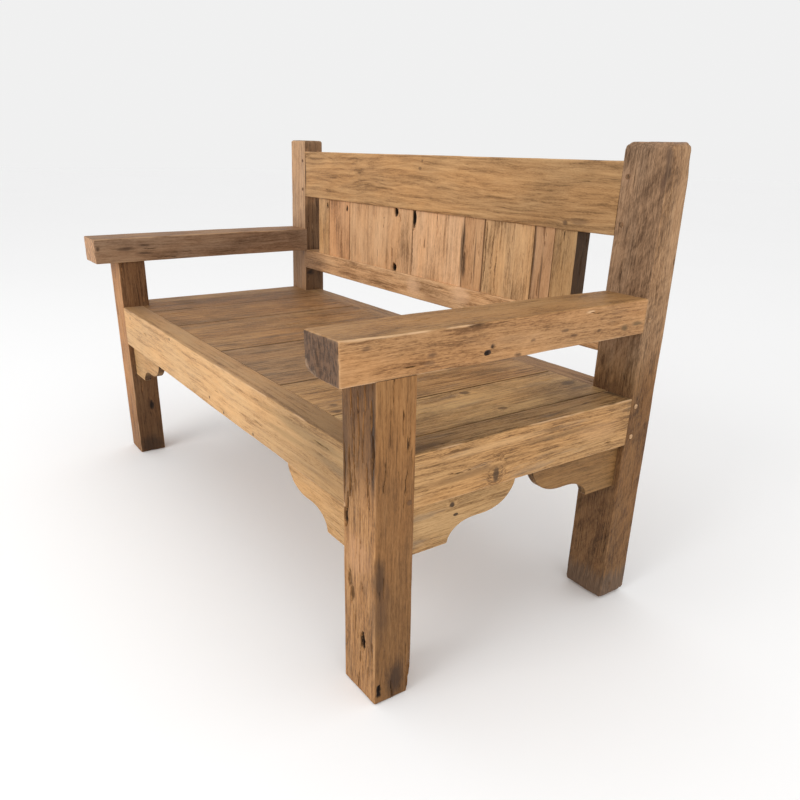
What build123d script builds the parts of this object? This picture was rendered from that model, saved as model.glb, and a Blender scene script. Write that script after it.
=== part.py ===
from build123d import *
import math
import os

# A heavy bench with arms and a boarded back, made of reclaimed hardwood beams and planks.
# Millimetres. X runs along the bench, Y from front to back, Z up. The origin is the middle of
# the whole bench's box, on the floor. Left and right are as seen by someone facing the bench.

LEFT = -1
RIGHT = 1
SIDES = {"left": LEFT, "right": RIGHT}
QUARTER_TURN = 90

# Whole bench
overall_length = 1422
seat_height = 450
arm_height_above_seat = 124  # underside of the arms above the seat
back_gap_height = 71  # open space between the seat and the back's bottom rail
back_board_height = 159  # back boards seen between the two back rails
post_height_above_back = 31
post_set_back_depth = 569  # front of the legs to the front of the posts' feet
arm_overhang_length = 60  # arm beyond the front of the leg
left_end_inset_width = 8  # the left end frame stands this far inside the end of its arm

# Front legs
left_leg_width = 90
right_leg_width = 98
leg_depth = 75
leg_arris_radius = 3.5
foot_chamfer_width = 3
leg_tenon_width = 46
leg_tenon_depth = 34
leg_tenon_height = 40

# Back posts, which lean back and grow thinner upwards
left_post_width = 92
right_post_width = 101
post_foot_depth = 76
post_top_depth = 66
post_rake_depth = 25  # how far the front face leans back over the whole height
post_arris_radius = 3.5
post_top_radius = 9

# Arms
left_arm_width = 108
right_arm_width = 103
arm_thickness = 70
arm_arris_radius = 5
arm_tenon_width = 60
arm_tenon_thickness = 28
arm_tenon_length = 38
arm_tenon_height = 24  # middle of the tenon above the arm's underside
broken_corner_width = 42
broken_corner_length = 8
broken_corner_height = 25

# Rails round the seat
front_rail_height = 110
front_rail_thickness = 56
back_rail_height = 104
back_rail_thickness = 60
back_rail_inset_depth = 9  # its rear face, in front of the posts' rear faces
side_rail_height = 98
side_rail_thickness = 61
rail_arris_radius = 4
rail_tenon_thickness = 22
rail_tenon_shoulder_height = 11  # rail left above and below each tenon
rail_tenon_length = 38

# Seat boards and what carries them
seat_board_thickness = 26
seat_board_gap = 1.4
seat_board_arris_radius = 1.6
seat_joint_shares = (0.10, 0.254, 0.482, 0.715, 0.876)
ledger_width = 30
batten_width = 46
batten_thickness = 30

# Back rails and boards, which lean with the posts
top_rail_height = 134
bottom_rail_height = 59
back_rails_thickness = 50
back_rail_arris_radius = 4
back_tenon_thickness = 22
back_tenon_shoulder_height = 12
back_tenon_length = 40
panel_left_gap = 77  # open space between the post and the first board
panel_right_gap = 90
panel_set_back_depth = 6
back_board_thickness = 40
back_board_gap = 0.9
back_board_arris_radius = 1.2
back_joint_shares = (0.061, 0.176, 0.268, 0.471, 0.666, 0.737, 0.889, 0.942)
tongue_thickness = 12
tongue_length = 12
groove_spare_depth = 1.5

# Old holes in the reclaimed boards of the back
bolt_hole_radius = 4.6
bolt_hole_depth = 22
bolt_hole_edge_distance = 6
bolt_hole_board = 4
bolt_hole_share = 0.68
split_width = 6
split_length = 29
split_depth = 24
split_top_distance = 5
split_board = 5

# Shaped brackets under the rails
front_bracket_length = 230
side_bracket_gap_length = 43.7  # open rail between the two brackets of a side rail
bracket_height = 90
bracket_waist_height = 54
bracket_bulge_share = 0.313  # of a bracket's length
bracket_cove_share = 0.252
bracket_foot_share = 0.348
bracket_corner_radius = 4
bracket_thickness = 20
bracket_set_back_depth = 14

# Pegs, dowels and screws
peg_radius = 4.6
rail_peg_length = 48
arm_peg_length = 70
post_peg_inset_distance = 16  # peg centre behind the shoulder of the joint
leg_peg_inset_distance = 11
rail_peg_margin_height = 18  # peg centre inside the rail's top or bottom edge
top_peg_margin_height = 28
low_peg_margin_height = 23
back_peg_length = 44
dowel_radius = 4
dowel_length = 46
dowel_length_shares = (0.15, 0.52)
screw_radius = 2
screw_head_radius = 4
screw_head_height = 3
screw_bite_length = 17
screw_board_shares = (0.22, 0.78)
ledger_screw_count = 7

# Fits
joint_clearance = 0.3
pin_clearance = 0.2
end_gap = 0.4
overrun_length = 5

# Worked out from the sizes above
arm_underside_height = seat_height + arm_height_above_seat
bottom_rail_underside_height = seat_height + back_gap_height
bottom_rail_top_height = bottom_rail_underside_height + bottom_rail_height
top_rail_underside_height = bottom_rail_top_height + back_board_height
top_rail_top_height = top_rail_underside_height + top_rail_height
post_height = top_rail_top_height + post_height_above_back
overall_depth = arm_overhang_length + post_set_back_depth + post_rake_depth + post_top_depth
half_length = overall_length / 2
leg_front_y = arm_overhang_length - overall_depth / 2
leg_rear_y = leg_front_y + leg_depth
post_foot_y = leg_front_y + post_set_back_depth
arm_front_y = leg_front_y - arm_overhang_length
rake_angle = math.degrees(math.atan2(post_rake_depth, post_height))
rear_rake_depth = post_rake_depth + post_top_depth - post_foot_depth
front_rail_underside = seat_height - front_rail_height
back_rail_underside = seat_height - back_rail_height
side_rail_underside = seat_height - side_rail_height
front_rail_rear_y = leg_front_y + front_rail_thickness
board_underside = seat_height - seat_board_thickness
ledger_underside = board_underside - ledger_width


def post_front_y(height):
    """Front face of the posts at a height."""
    return post_foot_y + post_rake_depth * height / post_height


def post_rear_y(height):
    """Rear face of the posts at a height."""
    return post_foot_y + post_foot_depth + rear_rake_depth * height / post_height


back_rail_rear_y = post_rear_y(back_rail_underside) - back_rail_inset_depth
back_rail_front_y = back_rail_rear_y - back_rail_thickness
side_rail_span = post_front_y(side_rail_underside) - leg_rear_y
side_bracket_length = (side_rail_span - side_bracket_gap_length) / 2


def of_side(side, left_value, right_value):
    return right_value if side == RIGHT else left_value


def end_face_x(side):
    """Outer face of an end frame."""
    return side * (half_length - of_side(side, left_end_inset_width, 0))


def leg_inner_x(side):
    return end_face_x(side) - side * of_side(side, left_leg_width, right_leg_width)


def post_inner_x(side):
    return end_face_x(side) - side * of_side(side, left_post_width, right_post_width)


def side_rail_inner_x(side):
    return end_face_x(side) - side * side_rail_thickness


def side_rail_middle_x(side):
    return end_face_x(side) - side * side_rail_thickness / 2


def block(x_ends, y_ends, z_ends):
    """A square-cut block between three pairs of planes."""
    lows = [min(ends) for ends in (x_ends, y_ends, z_ends)]
    highs = [max(ends) for ends in (x_ends, y_ends, z_ends)]
    sizes = [high - low for low, high in zip(lows, highs)]
    middles = [(high + low) / 2 for low, high in zip(lows, highs)]
    return Pos(*middles) * Box(*sizes)


def around(middle, size):
    """A pair of ends about a middle."""
    return (middle - size / 2, middle + size / 2)


def grown(ends, margin):
    return (min(ends) - margin, max(ends) + margin)


def ease(piece, axis, radius):
    """Rounds the long edges that run along an axis."""
    return fillet(piece.edges().filter_by(axis), radius)


def pin(radius, start, direction, length):
    """A round pin or hole from a start point along a direction."""
    return extrude(Plane(origin=start, z_dir=direction) * Circle(radius), length)


def in_back_frame(piece):
    """Places a piece that was drawn upright, its front at Y zero, in the leaning back."""
    return Pos(0, post_foot_y, 0) * Rot(X=-rake_angle) * piece


# Posts

def post_prism(side):
    """The square-cut blank of a post."""
    outline = Polyline(
        (post_front_y(0), 0),
        (post_rear_y(0), 0),
        (post_rear_y(post_height), post_height),
        (post_front_y(post_height), post_height),
        close=True,
    )
    face = Plane.YZ.offset(min(end_face_x(side), post_inner_x(side))) * make_face(outline)
    return extrude(face, abs(end_face_x(side) - post_inner_x(side)))


def back_post(side):
    post = post_prism(side)
    long_edges = [e for e in post.edges() if e.length > post_height - overrun_length]
    post = fillet(long_edges, post_arris_radius)
    post = fillet(post.faces().sort_by(Axis.Z)[-1].edges(), post_top_radius)
    post = chamfer(post.faces().sort_by(Axis.Z)[0].edges(), foot_chamfer_width)
    post -= side_rail_rear_tenon(side, joint_clearance)
    post -= back_rail_tenon(side, joint_clearance)
    post -= arm_tenon(side, joint_clearance)
    for underside, height in back_rails():
        post -= in_back_frame(back_tenon(side, underside, height, joint_clearance))
    for peg in post_peg_holes(side):
        post -= peg
    return post


# Legs

def leg_tenon(side, margin=0):
    middle_x = (end_face_x(side) + leg_inner_x(side)) / 2
    middle_y = (leg_front_y + leg_rear_y) / 2
    top = arm_underside_height + leg_tenon_height
    return block(
        grown(around(middle_x, leg_tenon_width), margin),
        grown(around(middle_y, leg_tenon_depth), margin),
        (arm_underside_height - overrun_length, top + margin),
    )


def front_leg(side):
    leg = block(
        (leg_inner_x(side), end_face_x(side)),
        (leg_front_y, leg_rear_y),
        (0, arm_underside_height),
    )
    leg = ease(leg, Axis.Z, leg_arris_radius)
    leg = chamfer(leg.faces().sort_by(Axis.Z)[0].edges(), foot_chamfer_width)
    leg += leg_tenon(side)
    leg -= front_rail_tenon(side, joint_clearance)
    leg -= side_rail_front_tenon(side, joint_clearance)
    leg -= side_front_peg(side, pin_clearance)
    return leg


# Arms

def arm_tenon(side, margin=0):
    middle_x = (end_face_x(side) + post_inner_x(side)) / 2
    middle_z = arm_underside_height + arm_tenon_height
    front = post_front_y(arm_underside_height)
    return block(
        grown(around(middle_x, arm_tenon_width), margin),
        (front - overrun_length, front + arm_tenon_length + margin),
        grown(around(middle_z, arm_tenon_thickness), margin),
    )


def arm(side):
    outer = side * half_length
    inner = outer - side * of_side(side, left_arm_width, right_arm_width)
    top = arm_underside_height + arm_thickness
    outline = Polyline(
        (arm_front_y, arm_underside_height),
        (post_front_y(arm_underside_height), arm_underside_height),
        (post_front_y(top), top),
        (arm_front_y, top),
        close=True,
    )
    body = extrude(Plane.YZ.offset(min(inner, outer)) * make_face(outline), abs(outer - inner))
    body = ease(body, Axis.Y, arm_arris_radius)
    body = fillet(body.faces().sort_by(Axis.Y)[0].edges(), arm_arris_radius)
    if side == RIGHT:
        body = without_corner(body, inner)
    body += arm_tenon(side)
    body -= leg_tenon(side, joint_clearance)
    body -= arm_peg(side, pin_clearance)
    return body


def without_corner(body, inner):
    """Cuts off the lower inner corner at the arm's front end, which is broken away."""
    across = Vector(inner + broken_corner_width, arm_front_y, arm_underside_height)
    along = Vector(inner, arm_front_y + broken_corner_length, arm_underside_height)
    above = Vector(inner, arm_front_y, arm_underside_height + broken_corner_height)
    break_plane = Plane(
        origin=across, x_dir=along - across, z_dir=(along - across).cross(above - across)
    )
    return split(body, bisect_by=break_plane, keep=Keep.TOP)


# Rails round the seat

def tenon_heights(underside, height):
    return (underside + rail_tenon_shoulder_height, underside + height - rail_tenon_shoulder_height)


def front_rail_tenon(side, margin=0):
    inner = leg_inner_x(side)
    middle_y = leg_front_y + front_rail_thickness / 2
    return block(
        (inner - side * overrun_length, inner + side * (rail_tenon_length + margin)),
        grown(around(middle_y, rail_tenon_thickness), margin),
        grown(tenon_heights(front_rail_underside, front_rail_height), margin),
    )


def back_rail_tenon(side, margin=0):
    inner = post_inner_x(side)
    middle_y = (back_rail_front_y + back_rail_rear_y) / 2
    return block(
        (inner - side * overrun_length, inner + side * (rail_tenon_length + margin)),
        grown(around(middle_y, rail_tenon_thickness), margin),
        grown(tenon_heights(back_rail_underside, back_rail_height), margin),
    )


def side_rail_front_tenon(side, margin=0):
    return block(
        grown(around(side_rail_middle_x(side), rail_tenon_thickness), margin),
        (leg_rear_y - rail_tenon_length - margin, leg_rear_y + overrun_length),
        grown(tenon_heights(side_rail_underside, side_rail_height), margin),
    )


def side_rail_rear_tenon(side, margin=0):
    front = post_front_y(side_rail_underside)
    return block(
        grown(around(side_rail_middle_x(side), rail_tenon_thickness), margin),
        (front - overrun_length, front + rail_tenon_length + margin),
        grown(tenon_heights(side_rail_underside, side_rail_height), margin),
    )


def front_rail():
    rail = block(
        (leg_inner_x(LEFT), leg_inner_x(RIGHT)),
        (leg_front_y, front_rail_rear_y),
        (front_rail_underside, seat_height),
    )
    rail = ease(rail, Axis.X, rail_arris_radius)
    for side in SIDES.values():
        rail += front_rail_tenon(side)
        for dowel in front_bracket_dowels(side, pin_clearance):
            rail -= dowel
    for screw in ledger_screw_set(front_rail_rear_y, RIGHT, pin_clearance):
        rail -= screw
    return rail


def back_rail():
    rail = block(
        (post_inner_x(LEFT), post_inner_x(RIGHT)),
        (back_rail_front_y, back_rail_rear_y),
        (back_rail_underside, seat_height),
    )
    rail = ease(rail, Axis.X, rail_arris_radius)
    for side in SIDES.values():
        rail += back_rail_tenon(side)
    for screw in ledger_screw_set(back_rail_front_y, LEFT, pin_clearance):
        rail -= screw
    return rail


def side_rail(side):
    rail = block(
        (side_rail_inner_x(side), end_face_x(side)),
        (leg_rear_y, post_rear_y(seat_height)),
        (side_rail_underside, seat_height),
    )
    rail = ease(rail, Axis.Y, rail_arris_radius)
    rail -= post_prism(side)
    rail = rail.solids().sort_by(Axis.Y)[0]
    rail = rail + side_rail_front_tenon(side) + side_rail_rear_tenon(side)
    rail -= side_front_peg(side, pin_clearance)
    for peg in side_rear_pegs(side, pin_clearance):
        rail -= peg
    for at_rear in (False, True):
        for dowel in side_bracket_dowels(side, at_rear, pin_clearance):
            rail -= dowel
    return rail


# Seat boards, ledgers and batten

def seat_edges():
    """The X places of the joints between the seat boards, from left to right."""
    left = side_rail_inner_x(LEFT)
    right = side_rail_inner_x(RIGHT)
    joints = [left + share * (right - left) for share in seat_joint_shares]
    return [left] + joints + [right]


def seat_board_ends(number):
    """Left and right edge of one seat board, with its half of each joint gap."""
    edges = seat_edges()
    return (edges[number - 1] + seat_board_gap / 2, edges[number] - seat_board_gap / 2)


def frame_clearances():
    """Room for the legs and posts at the corners of the seat."""
    for side in SIDES.values():
        outer = end_face_x(side)
        yield block(
            (leg_inner_x(side) - side * seat_board_gap, outer),
            (leg_front_y, leg_rear_y + seat_board_gap),
            (board_underside - overrun_length, seat_height + overrun_length),
        )
        yield block(
            (post_inner_x(side) - side * seat_board_gap, outer),
            (post_front_y(board_underside) - seat_board_gap, post_rear_y(seat_height)),
            (board_underside - overrun_length, seat_height + overrun_length),
        )


def seat_board(number):
    board = block(
        seat_board_ends(number),
        (front_rail_rear_y + seat_board_gap, back_rail_front_y - seat_board_gap),
        (board_underside, seat_height),
    )
    top_edges = board.edges().filter_by(Axis.Y).group_by(Axis.Z)[-1]
    board = fillet(top_edges, seat_board_arris_radius)
    for room in frame_clearances():
        board -= room
    for screw in seat_screw_set(number, pin_clearance):
        board -= screw
    return board


def bearer_lines():
    """Middle Y and depth of the three bearers under the seat boards."""
    yield front_rail_rear_y + ledger_width / 2, ledger_width
    yield (front_rail_rear_y + back_rail_front_y) / 2, batten_thickness
    yield back_rail_front_y - ledger_width / 2, ledger_width


def seat_ledger(wall_y, inward, inner_x):
    """A strip along a rail's inner face. inward is the way from the rail into the seat."""
    strip = block(
        (inner_x(LEFT) + end_gap, inner_x(RIGHT) - end_gap),
        (wall_y, wall_y + inward * ledger_width),
        (ledger_underside, board_underside),
    )
    for screw in ledger_screw_set(wall_y, inward, pin_clearance):
        strip -= screw
    for screw in all_seat_screws(pin_clearance):
        strip -= screw
    return strip


def seat_batten():
    batten = block(
        (side_rail_inner_x(LEFT) + end_gap, side_rail_inner_x(RIGHT) - end_gap),
        around((front_rail_rear_y + back_rail_front_y) / 2, batten_width),
        (board_underside - batten_thickness, board_underside),
    )
    for screw in all_seat_screws(pin_clearance):
        batten -= screw
    return batten


# Back rails and boards, drawn upright

def back_rails():
    yield top_rail_underside_height, top_rail_height
    yield bottom_rail_underside_height, bottom_rail_height


def back_tenon(side, underside, height, margin=0):
    inner = post_inner_x(side)
    low = underside + back_tenon_shoulder_height
    high = underside + height - back_tenon_shoulder_height
    return block(
        (inner - side * overrun_length, inner + side * (back_tenon_length + margin)),
        grown(around(back_rails_thickness / 2, back_tenon_thickness), margin),
        grown((low, high), margin),
    )


def panel_ends():
    return (post_inner_x(LEFT) + panel_left_gap, post_inner_x(RIGHT) - panel_right_gap)


def back_frame_rail(underside, height, groove_heights):
    rail = block(
        (post_inner_x(LEFT), post_inner_x(RIGHT)),
        (0, back_rails_thickness),
        (underside, underside + height),
    )
    rail = ease(rail, Axis.X, back_rail_arris_radius)
    for side in SIDES.values():
        rail += back_tenon(side, underside, height)
    rail -= block(
        grown(panel_ends(), joint_clearance),
        grown(around(panel_middle_y(), tongue_thickness), joint_clearance),
        groove_heights,
    )
    return rail


def panel_middle_y():
    return panel_set_back_depth + back_board_thickness / 2


def back_top_rail():
    underside = top_rail_underside_height
    groove = (underside - overrun_length, underside + tongue_length + groove_spare_depth)
    rail = in_back_frame(back_frame_rail(underside, top_rail_height, groove))
    for side in SIDES.values():
        for peg in top_rail_pegs(side, pin_clearance):
            rail -= peg
    return rail


def back_bottom_rail():
    top = bottom_rail_top_height
    groove = (top - tongue_length - groove_spare_depth, top + overrun_length)
    return in_back_frame(back_frame_rail(bottom_rail_underside_height, bottom_rail_height, groove))


def back_board(number):
    left, right = panel_ends()
    edges = [left] + [left + share * (right - left) for share in back_joint_shares] + [right]
    ends = (edges[number - 1] + back_board_gap / 2, edges[number] - back_board_gap / 2)
    low = bottom_rail_top_height
    high = top_rail_underside_height - joint_clearance
    depths = (panel_set_back_depth, panel_set_back_depth + back_board_thickness)
    board = block(ends, depths, (low, high))
    board = ease(board, Axis.Z, back_board_arris_radius)
    board += block(
        grown(ends, -back_board_arris_radius),
        around(panel_middle_y(), tongue_thickness),
        (low - tongue_length, high + tongue_length),
    )
    if number == bolt_hole_board:
        for height in (low + bolt_hole_edge_distance, high - bolt_hole_edge_distance):
            place = ends[0] + bolt_hole_share * (ends[1] - ends[0])
            board -= pin(bolt_hole_radius, (place, 0, height), (0, 1, 0), bolt_hole_depth)
    if number == split_board:
        board -= block(
            (ends[0] - overrun_length, ends[0] + split_width),
            (0, split_depth),
            (high - split_top_distance - split_length, high - split_top_distance),
        )
    return in_back_frame(board)


# Brackets

def bracket_face(length):
    """Outline of a bracket: X away from the leg, Y up, its top edge on the X axis."""
    bulge_length = bracket_bulge_share * length
    cove_length = bracket_cove_share * length
    foot_length = bracket_foot_share * length
    bulge = EllipticalCenterArc(
        (length - bulge_length, 0),
        bulge_length,
        bracket_waist_height,
        start_angle=-QUARTER_TURN,
        arc_size=QUARTER_TURN,
    )
    cove = EllipticalCenterArc(
        (foot_length + cove_length, -bracket_height),
        cove_length,
        bracket_height - bracket_waist_height,
        start_angle=QUARTER_TURN,
        arc_size=QUARTER_TURN,
    )
    outline = (
        bulge
        + cove
        + Line(bulge @ 0, cove @ 0)
        + Line(cove @ 1, (0, -bracket_height))
        + Line((0, -bracket_height), (0, 0))
        + Line((0, 0), bulge @ 1)
    )
    face = make_face(outline)
    corner = face.vertices().sort_by_distance((foot_length, -bracket_height))[0]
    return fillet(corner, bracket_corner_radius)


def upright_bracket(length):
    """A bracket that stands upright: X away from the leg, and its outer face at Y zero."""
    board = extrude(bracket_face(length), bracket_thickness)
    return Rot(X=QUARTER_TURN) * Pos(0, 0, -bracket_thickness) * board


def front_bracket(side):
    bracket = upright_bracket(front_bracket_length)
    face_y = leg_front_y + bracket_set_back_depth
    if side == RIGHT:
        bracket = Rot(Z=2 * QUARTER_TURN) * bracket
        face_y += bracket_thickness
    bracket = Pos(leg_inner_x(side), face_y, front_rail_underside) * bracket
    for dowel in front_bracket_dowels(side, pin_clearance):
        bracket -= dowel
    return bracket


def side_bracket(side, at_rear):
    outer = end_face_x(side) - side * bracket_set_back_depth
    low_x = min(outer, outer - side * bracket_thickness)
    if at_rear:
        turned = Rot(Z=-QUARTER_TURN) * upright_bracket(side_bracket_length)
        place = Pos(low_x, post_front_y(side_rail_underside), side_rail_underside)
    else:
        turned = Rot(Z=QUARTER_TURN) * upright_bracket(side_bracket_length)
        place = Pos(low_x + bracket_thickness, leg_rear_y, side_rail_underside)
    bracket = place * turned
    if at_rear:
        bracket -= post_prism(side)
    for dowel in side_bracket_dowels(side, at_rear, pin_clearance):
        bracket -= dowel
    return bracket


# Pegs and dowels

def side_front_peg(side, margin=0):
    height = side_rail_underside + rail_peg_margin_height
    start = (end_face_x(side), leg_rear_y - leg_peg_inset_distance, height)
    return pin(peg_radius + margin, start, (-side, 0, 0), rail_peg_length + margin)


def side_rear_pegs(side, margin=0):
    for height in (side_rail_underside + rail_peg_margin_height, seat_height - rail_peg_margin_height):
        start = (end_face_x(side), post_front_y(height) + post_peg_inset_distance, height)
        yield pin(peg_radius + margin, start, (-side, 0, 0), rail_peg_length + margin)


def arm_peg(side, margin=0):
    height = arm_underside_height + arm_tenon_height
    start = (end_face_x(side), post_front_y(height) + post_peg_inset_distance, height)
    return pin(peg_radius + margin, start, (-side, 0, 0), arm_peg_length + margin)


def top_rail_pegs(side, margin=0):
    low = top_rail_underside_height + low_peg_margin_height
    high = top_rail_top_height - top_peg_margin_height
    for height in (low, high):
        start = (post_inner_x(side) + side * post_peg_inset_distance, 0, height)
        peg = pin(peg_radius + margin, start, (0, 1, 0), back_peg_length + margin)
        yield in_back_frame(peg)


def post_peg_holes(side):
    yield from side_rear_pegs(side, pin_clearance)
    yield arm_peg(side, pin_clearance)
    yield from top_rail_pegs(side, pin_clearance)


def front_bracket_dowels(side, margin=0):
    middle_y = leg_front_y + bracket_set_back_depth + bracket_thickness / 2
    for share in dowel_length_shares:
        place = leg_inner_x(side) - side * share * front_bracket_length
        start = (place, middle_y, front_rail_underside - dowel_length / 2 - margin)
        yield pin(dowel_radius + margin, start, (0, 0, 1), dowel_length + 2 * margin)


def side_bracket_dowels(side, at_rear, margin=0):
    middle_x = end_face_x(side) - side * (bracket_set_back_depth + bracket_thickness / 2)
    for share in dowel_length_shares:
        if at_rear:
            place = post_front_y(side_rail_underside) - share * side_bracket_length
        else:
            place = leg_rear_y + share * side_bracket_length
        start = (middle_x, place, side_rail_underside - dowel_length / 2 - margin)
        yield pin(dowel_radius + margin, start, (0, 0, 1), dowel_length + 2 * margin)


# Screws

def screw(start, direction, length, margin=0):
    """A countersunk screw from its head's flat face. A margin makes the hole for it."""
    shank = pin(screw_radius + margin, start, direction, length + margin)
    head = pin(screw_head_radius + margin, start, direction, screw_head_height + margin)
    return shank + head


def seat_screw_set(number, margin=0):
    """The screws that come up through the bearers into one seat board."""
    board_left, board_right = seat_board_ends(number)
    left = max(board_left, leg_inner_x(LEFT))
    right = min(board_right, leg_inner_x(RIGHT))
    for middle_y, depth in bearer_lines():
        for share in screw_board_shares:
            start = (left + share * (right - left), middle_y, board_underside - depth)
            yield screw(start, (0, 0, 1), depth + screw_bite_length, margin)


def all_seat_screws(margin=0):
    for number in range(1, len(seat_edges())):
        yield from seat_screw_set(number, margin)


def ledger_screw_set(wall_y, inward, margin=0):
    """The screws through a ledger into its rail, evenly spaced along it."""
    left = leg_inner_x(LEFT)
    right = leg_inner_x(RIGHT)
    for index in range(ledger_screw_count):
        place = left + (index + 1) * (right - left) / (ledger_screw_count + 1)
        start = (place, wall_y + inward * ledger_width, ledger_underside + ledger_width / 2)
        yield screw(start, (0, -inward, 0), ledger_width + screw_bite_length, margin)


# Every piece by its name

def all_pieces():
    for name, side in SIDES.items():
        yield f"front_leg_{name}", front_leg(side)
        yield f"back_post_{name}", back_post(side)
        yield f"arm_{name}", arm(side)
        yield f"side_rail_{name}", side_rail(side)
        yield f"front_bracket_{name}", front_bracket(side)
        yield f"side_bracket_{name}_front", side_bracket(side, False)
        yield f"side_bracket_{name}_rear", side_bracket(side, True)
    yield "front_rail", front_rail()
    yield "back_rail", back_rail()
    yield "back_top_rail", back_top_rail()
    yield "back_bottom_rail", back_bottom_rail()
    for number in range(1, len(seat_joint_shares) + 2):
        yield f"seat_board_{number}", seat_board(number)
    for number in range(1, len(back_joint_shares) + 2):
        yield f"back_board_{number}", back_board(number)
    yield "seat_ledger_front", seat_ledger(front_rail_rear_y, RIGHT, leg_inner_x)
    yield "seat_ledger_back", seat_ledger(back_rail_front_y, LEFT, post_inner_x)
    yield "seat_batten", seat_batten()
    yield from fastener_groups()


def fastener_groups():
    """Identical fasteners share one node, each of them its own solid."""
    sides = SIDES.values()
    yield "arm_pegs", [arm_peg(side) for side in sides]
    rail_pegs = [side_front_peg(side) for side in sides]
    for side in sides:
        rail_pegs += list(side_rear_pegs(side))
    yield "side_rail_pegs", rail_pegs
    yield "top_rail_pegs", [peg for side in sides for peg in top_rail_pegs(side)]
    dowels = [dowel for side in sides for dowel in front_bracket_dowels(side)]
    for side in sides:
        for at_rear in (False, True):
            dowels += list(side_bracket_dowels(side, at_rear))
    yield "bracket_dowels", dowels
    yield "seat_screws", list(all_seat_screws())
    yield "ledger_screws", (
        list(ledger_screw_set(front_rail_rear_y, RIGHT))
        + list(ledger_screw_set(back_rail_front_y, LEFT))
    )


def main():
    os.makedirs("parts", exist_ok=True)
    for name, piece in all_pieces():
        if isinstance(piece, list):
            piece = Compound(children=[solid for item in piece for solid in item.solids()])
        export_step(piece, f"parts/{name}.step")


if __name__ == "__main__":
    main()
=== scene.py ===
import itertools
import math

import bmesh
import bpy
import numpy as np
from mathutils import Matrix, Vector


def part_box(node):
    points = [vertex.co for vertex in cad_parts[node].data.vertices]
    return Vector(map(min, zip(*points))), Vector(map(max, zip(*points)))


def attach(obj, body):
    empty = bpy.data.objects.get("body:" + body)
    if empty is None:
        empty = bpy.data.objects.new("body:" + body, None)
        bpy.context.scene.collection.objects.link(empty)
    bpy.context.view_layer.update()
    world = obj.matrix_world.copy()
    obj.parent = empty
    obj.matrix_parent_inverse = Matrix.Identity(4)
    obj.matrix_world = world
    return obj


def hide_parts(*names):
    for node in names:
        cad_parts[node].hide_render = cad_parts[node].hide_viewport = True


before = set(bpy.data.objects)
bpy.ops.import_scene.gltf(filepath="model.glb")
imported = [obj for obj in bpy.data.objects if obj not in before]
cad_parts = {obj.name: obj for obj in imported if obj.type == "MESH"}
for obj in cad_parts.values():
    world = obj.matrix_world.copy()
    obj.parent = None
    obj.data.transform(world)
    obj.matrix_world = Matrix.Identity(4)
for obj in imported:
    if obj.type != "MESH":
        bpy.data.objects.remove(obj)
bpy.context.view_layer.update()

bl_info = {
    "name": "Reclaimed timber bench",
    "version": (1, 0, 0),
    "blender": (4, 5, 0),
    "location": "3D View > Sidebar > Bench",
    "description": "Weathered timbers, boards, brackets and pegs of a heavy bench with arms",
    "category": "Object",
}

X, Y, Z = 0, 1, 2
MM = 0.001
ROOT = "root"


def mm(*values):
    """Lengths in millimetres as metres."""
    return tuple(value * MM for value in values)


# The back before it leans: the undersides and heights of its rails, and the depths behind the posts' fronts
TOP_RAIL_SPAN, BOTTOM_RAIL_SPAN = mm(739, 134), mm(521, 59)
BACK_RAIL_DEPTH = 50 * MM
BACK_BOARD_LOW, BACK_BOARD_HIGH = 580 * MM - 1.5 * MM, 739 * MM + 1.5 * MM
BACK_BOARD_FRONT, BACK_BOARD_REAR = 6 * MM, 46 * MM

# Brackets: the drop at the leg and at the waist, and the shares of the run that the foot, cove and bulge take
BRACKET_DROP, BRACKET_WAIST = 90 * MM, 54 * MM
OGEE_SHARES = (0.348, 0.252, 0.313)

# Joints between boards, which are narrower than in the CAD so that they read as thin lines, and the notches
SEAT_JOINT_CLOSING, BACK_JOINT_CLOSING = 0.62 * MM, 0.4 * MM
NOTCH_GAP, NOTCH_SPARE = 1.4 * MM, 5 * MM

# Wear of the near post and the arms: the hollow behind the post's head (height, reach, depth), the broken corner's
# reach along each axis, and how far the arms sink or rise at shares of their length
POST_HOLLOW = mm(882, 45, 5)
ARM_BREAK = mm(42, 8, 25)
ARM_INNER_SAG = ((0, 0.1, 0.3, 0.6, 1), mm(2, 1, 0, 1, 3.5))
ARM_OUTER_SAG = ((0, 0.12, 0.3, 1), mm(0, 2.2, 3, 3.5))
FAR_ARM_SAG, FAR_ARM_RISE = ((0, 0.6), mm(3, 0)), ((0, 0.5), mm(0, 3))
SHARP = math.radians(48)

# Light, and the camera that was fitted to the photograph
SKY_LIGHT, SKY_SEEN = 0.92, 0.873
LAMPS = (("key", (0.7, -4.2, 2.9), 2.8, 80), ("fill", (4.0, -1.2, 2.0), 2.6, 18))
LAMP_AIM = (0, 0, 0.4)
CAMERA_EYE, CAMERA_AIM = (1.535, -0.834, 0.881), (0.2577, 0.0754, 0.2479)
CAMERA_ROLL = math.radians(1.19)
CAMERA_LENS, CAMERA_SHIFT = 32.68, (-0.0061, 0.0544)


def srgb(red, green, blue):
    """A colour picked on a screen, from 0 to 255, as the linear values that Blender works in."""
    def linear(value):
        value /= 255
        return value / 12.92 if value <= 0.04045 else ((value + 0.055) / 1.055) ** 2.4
    return (linear(red), linear(green), linear(blue))


def edge(node, axis, high):
    """Where a CAD node begins or ends along an axis."""
    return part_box(node)[1 if high else 0][axis]


def box(node):
    """The low and the high corner of a CAD node, as lists that can be changed."""
    return [list(corner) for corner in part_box(node)]


# Sizes and colours that a user would change

def length(name, description, default):
    return bpy.props.FloatProperty(
        name=name, description=description, default=default, min=0, unit="LENGTH", precision=5)


def colour(name, description, default):
    return bpy.props.FloatVectorProperty(
        name=name, description=description, default=default, min=0, max=1, subtype="COLOR")


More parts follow.
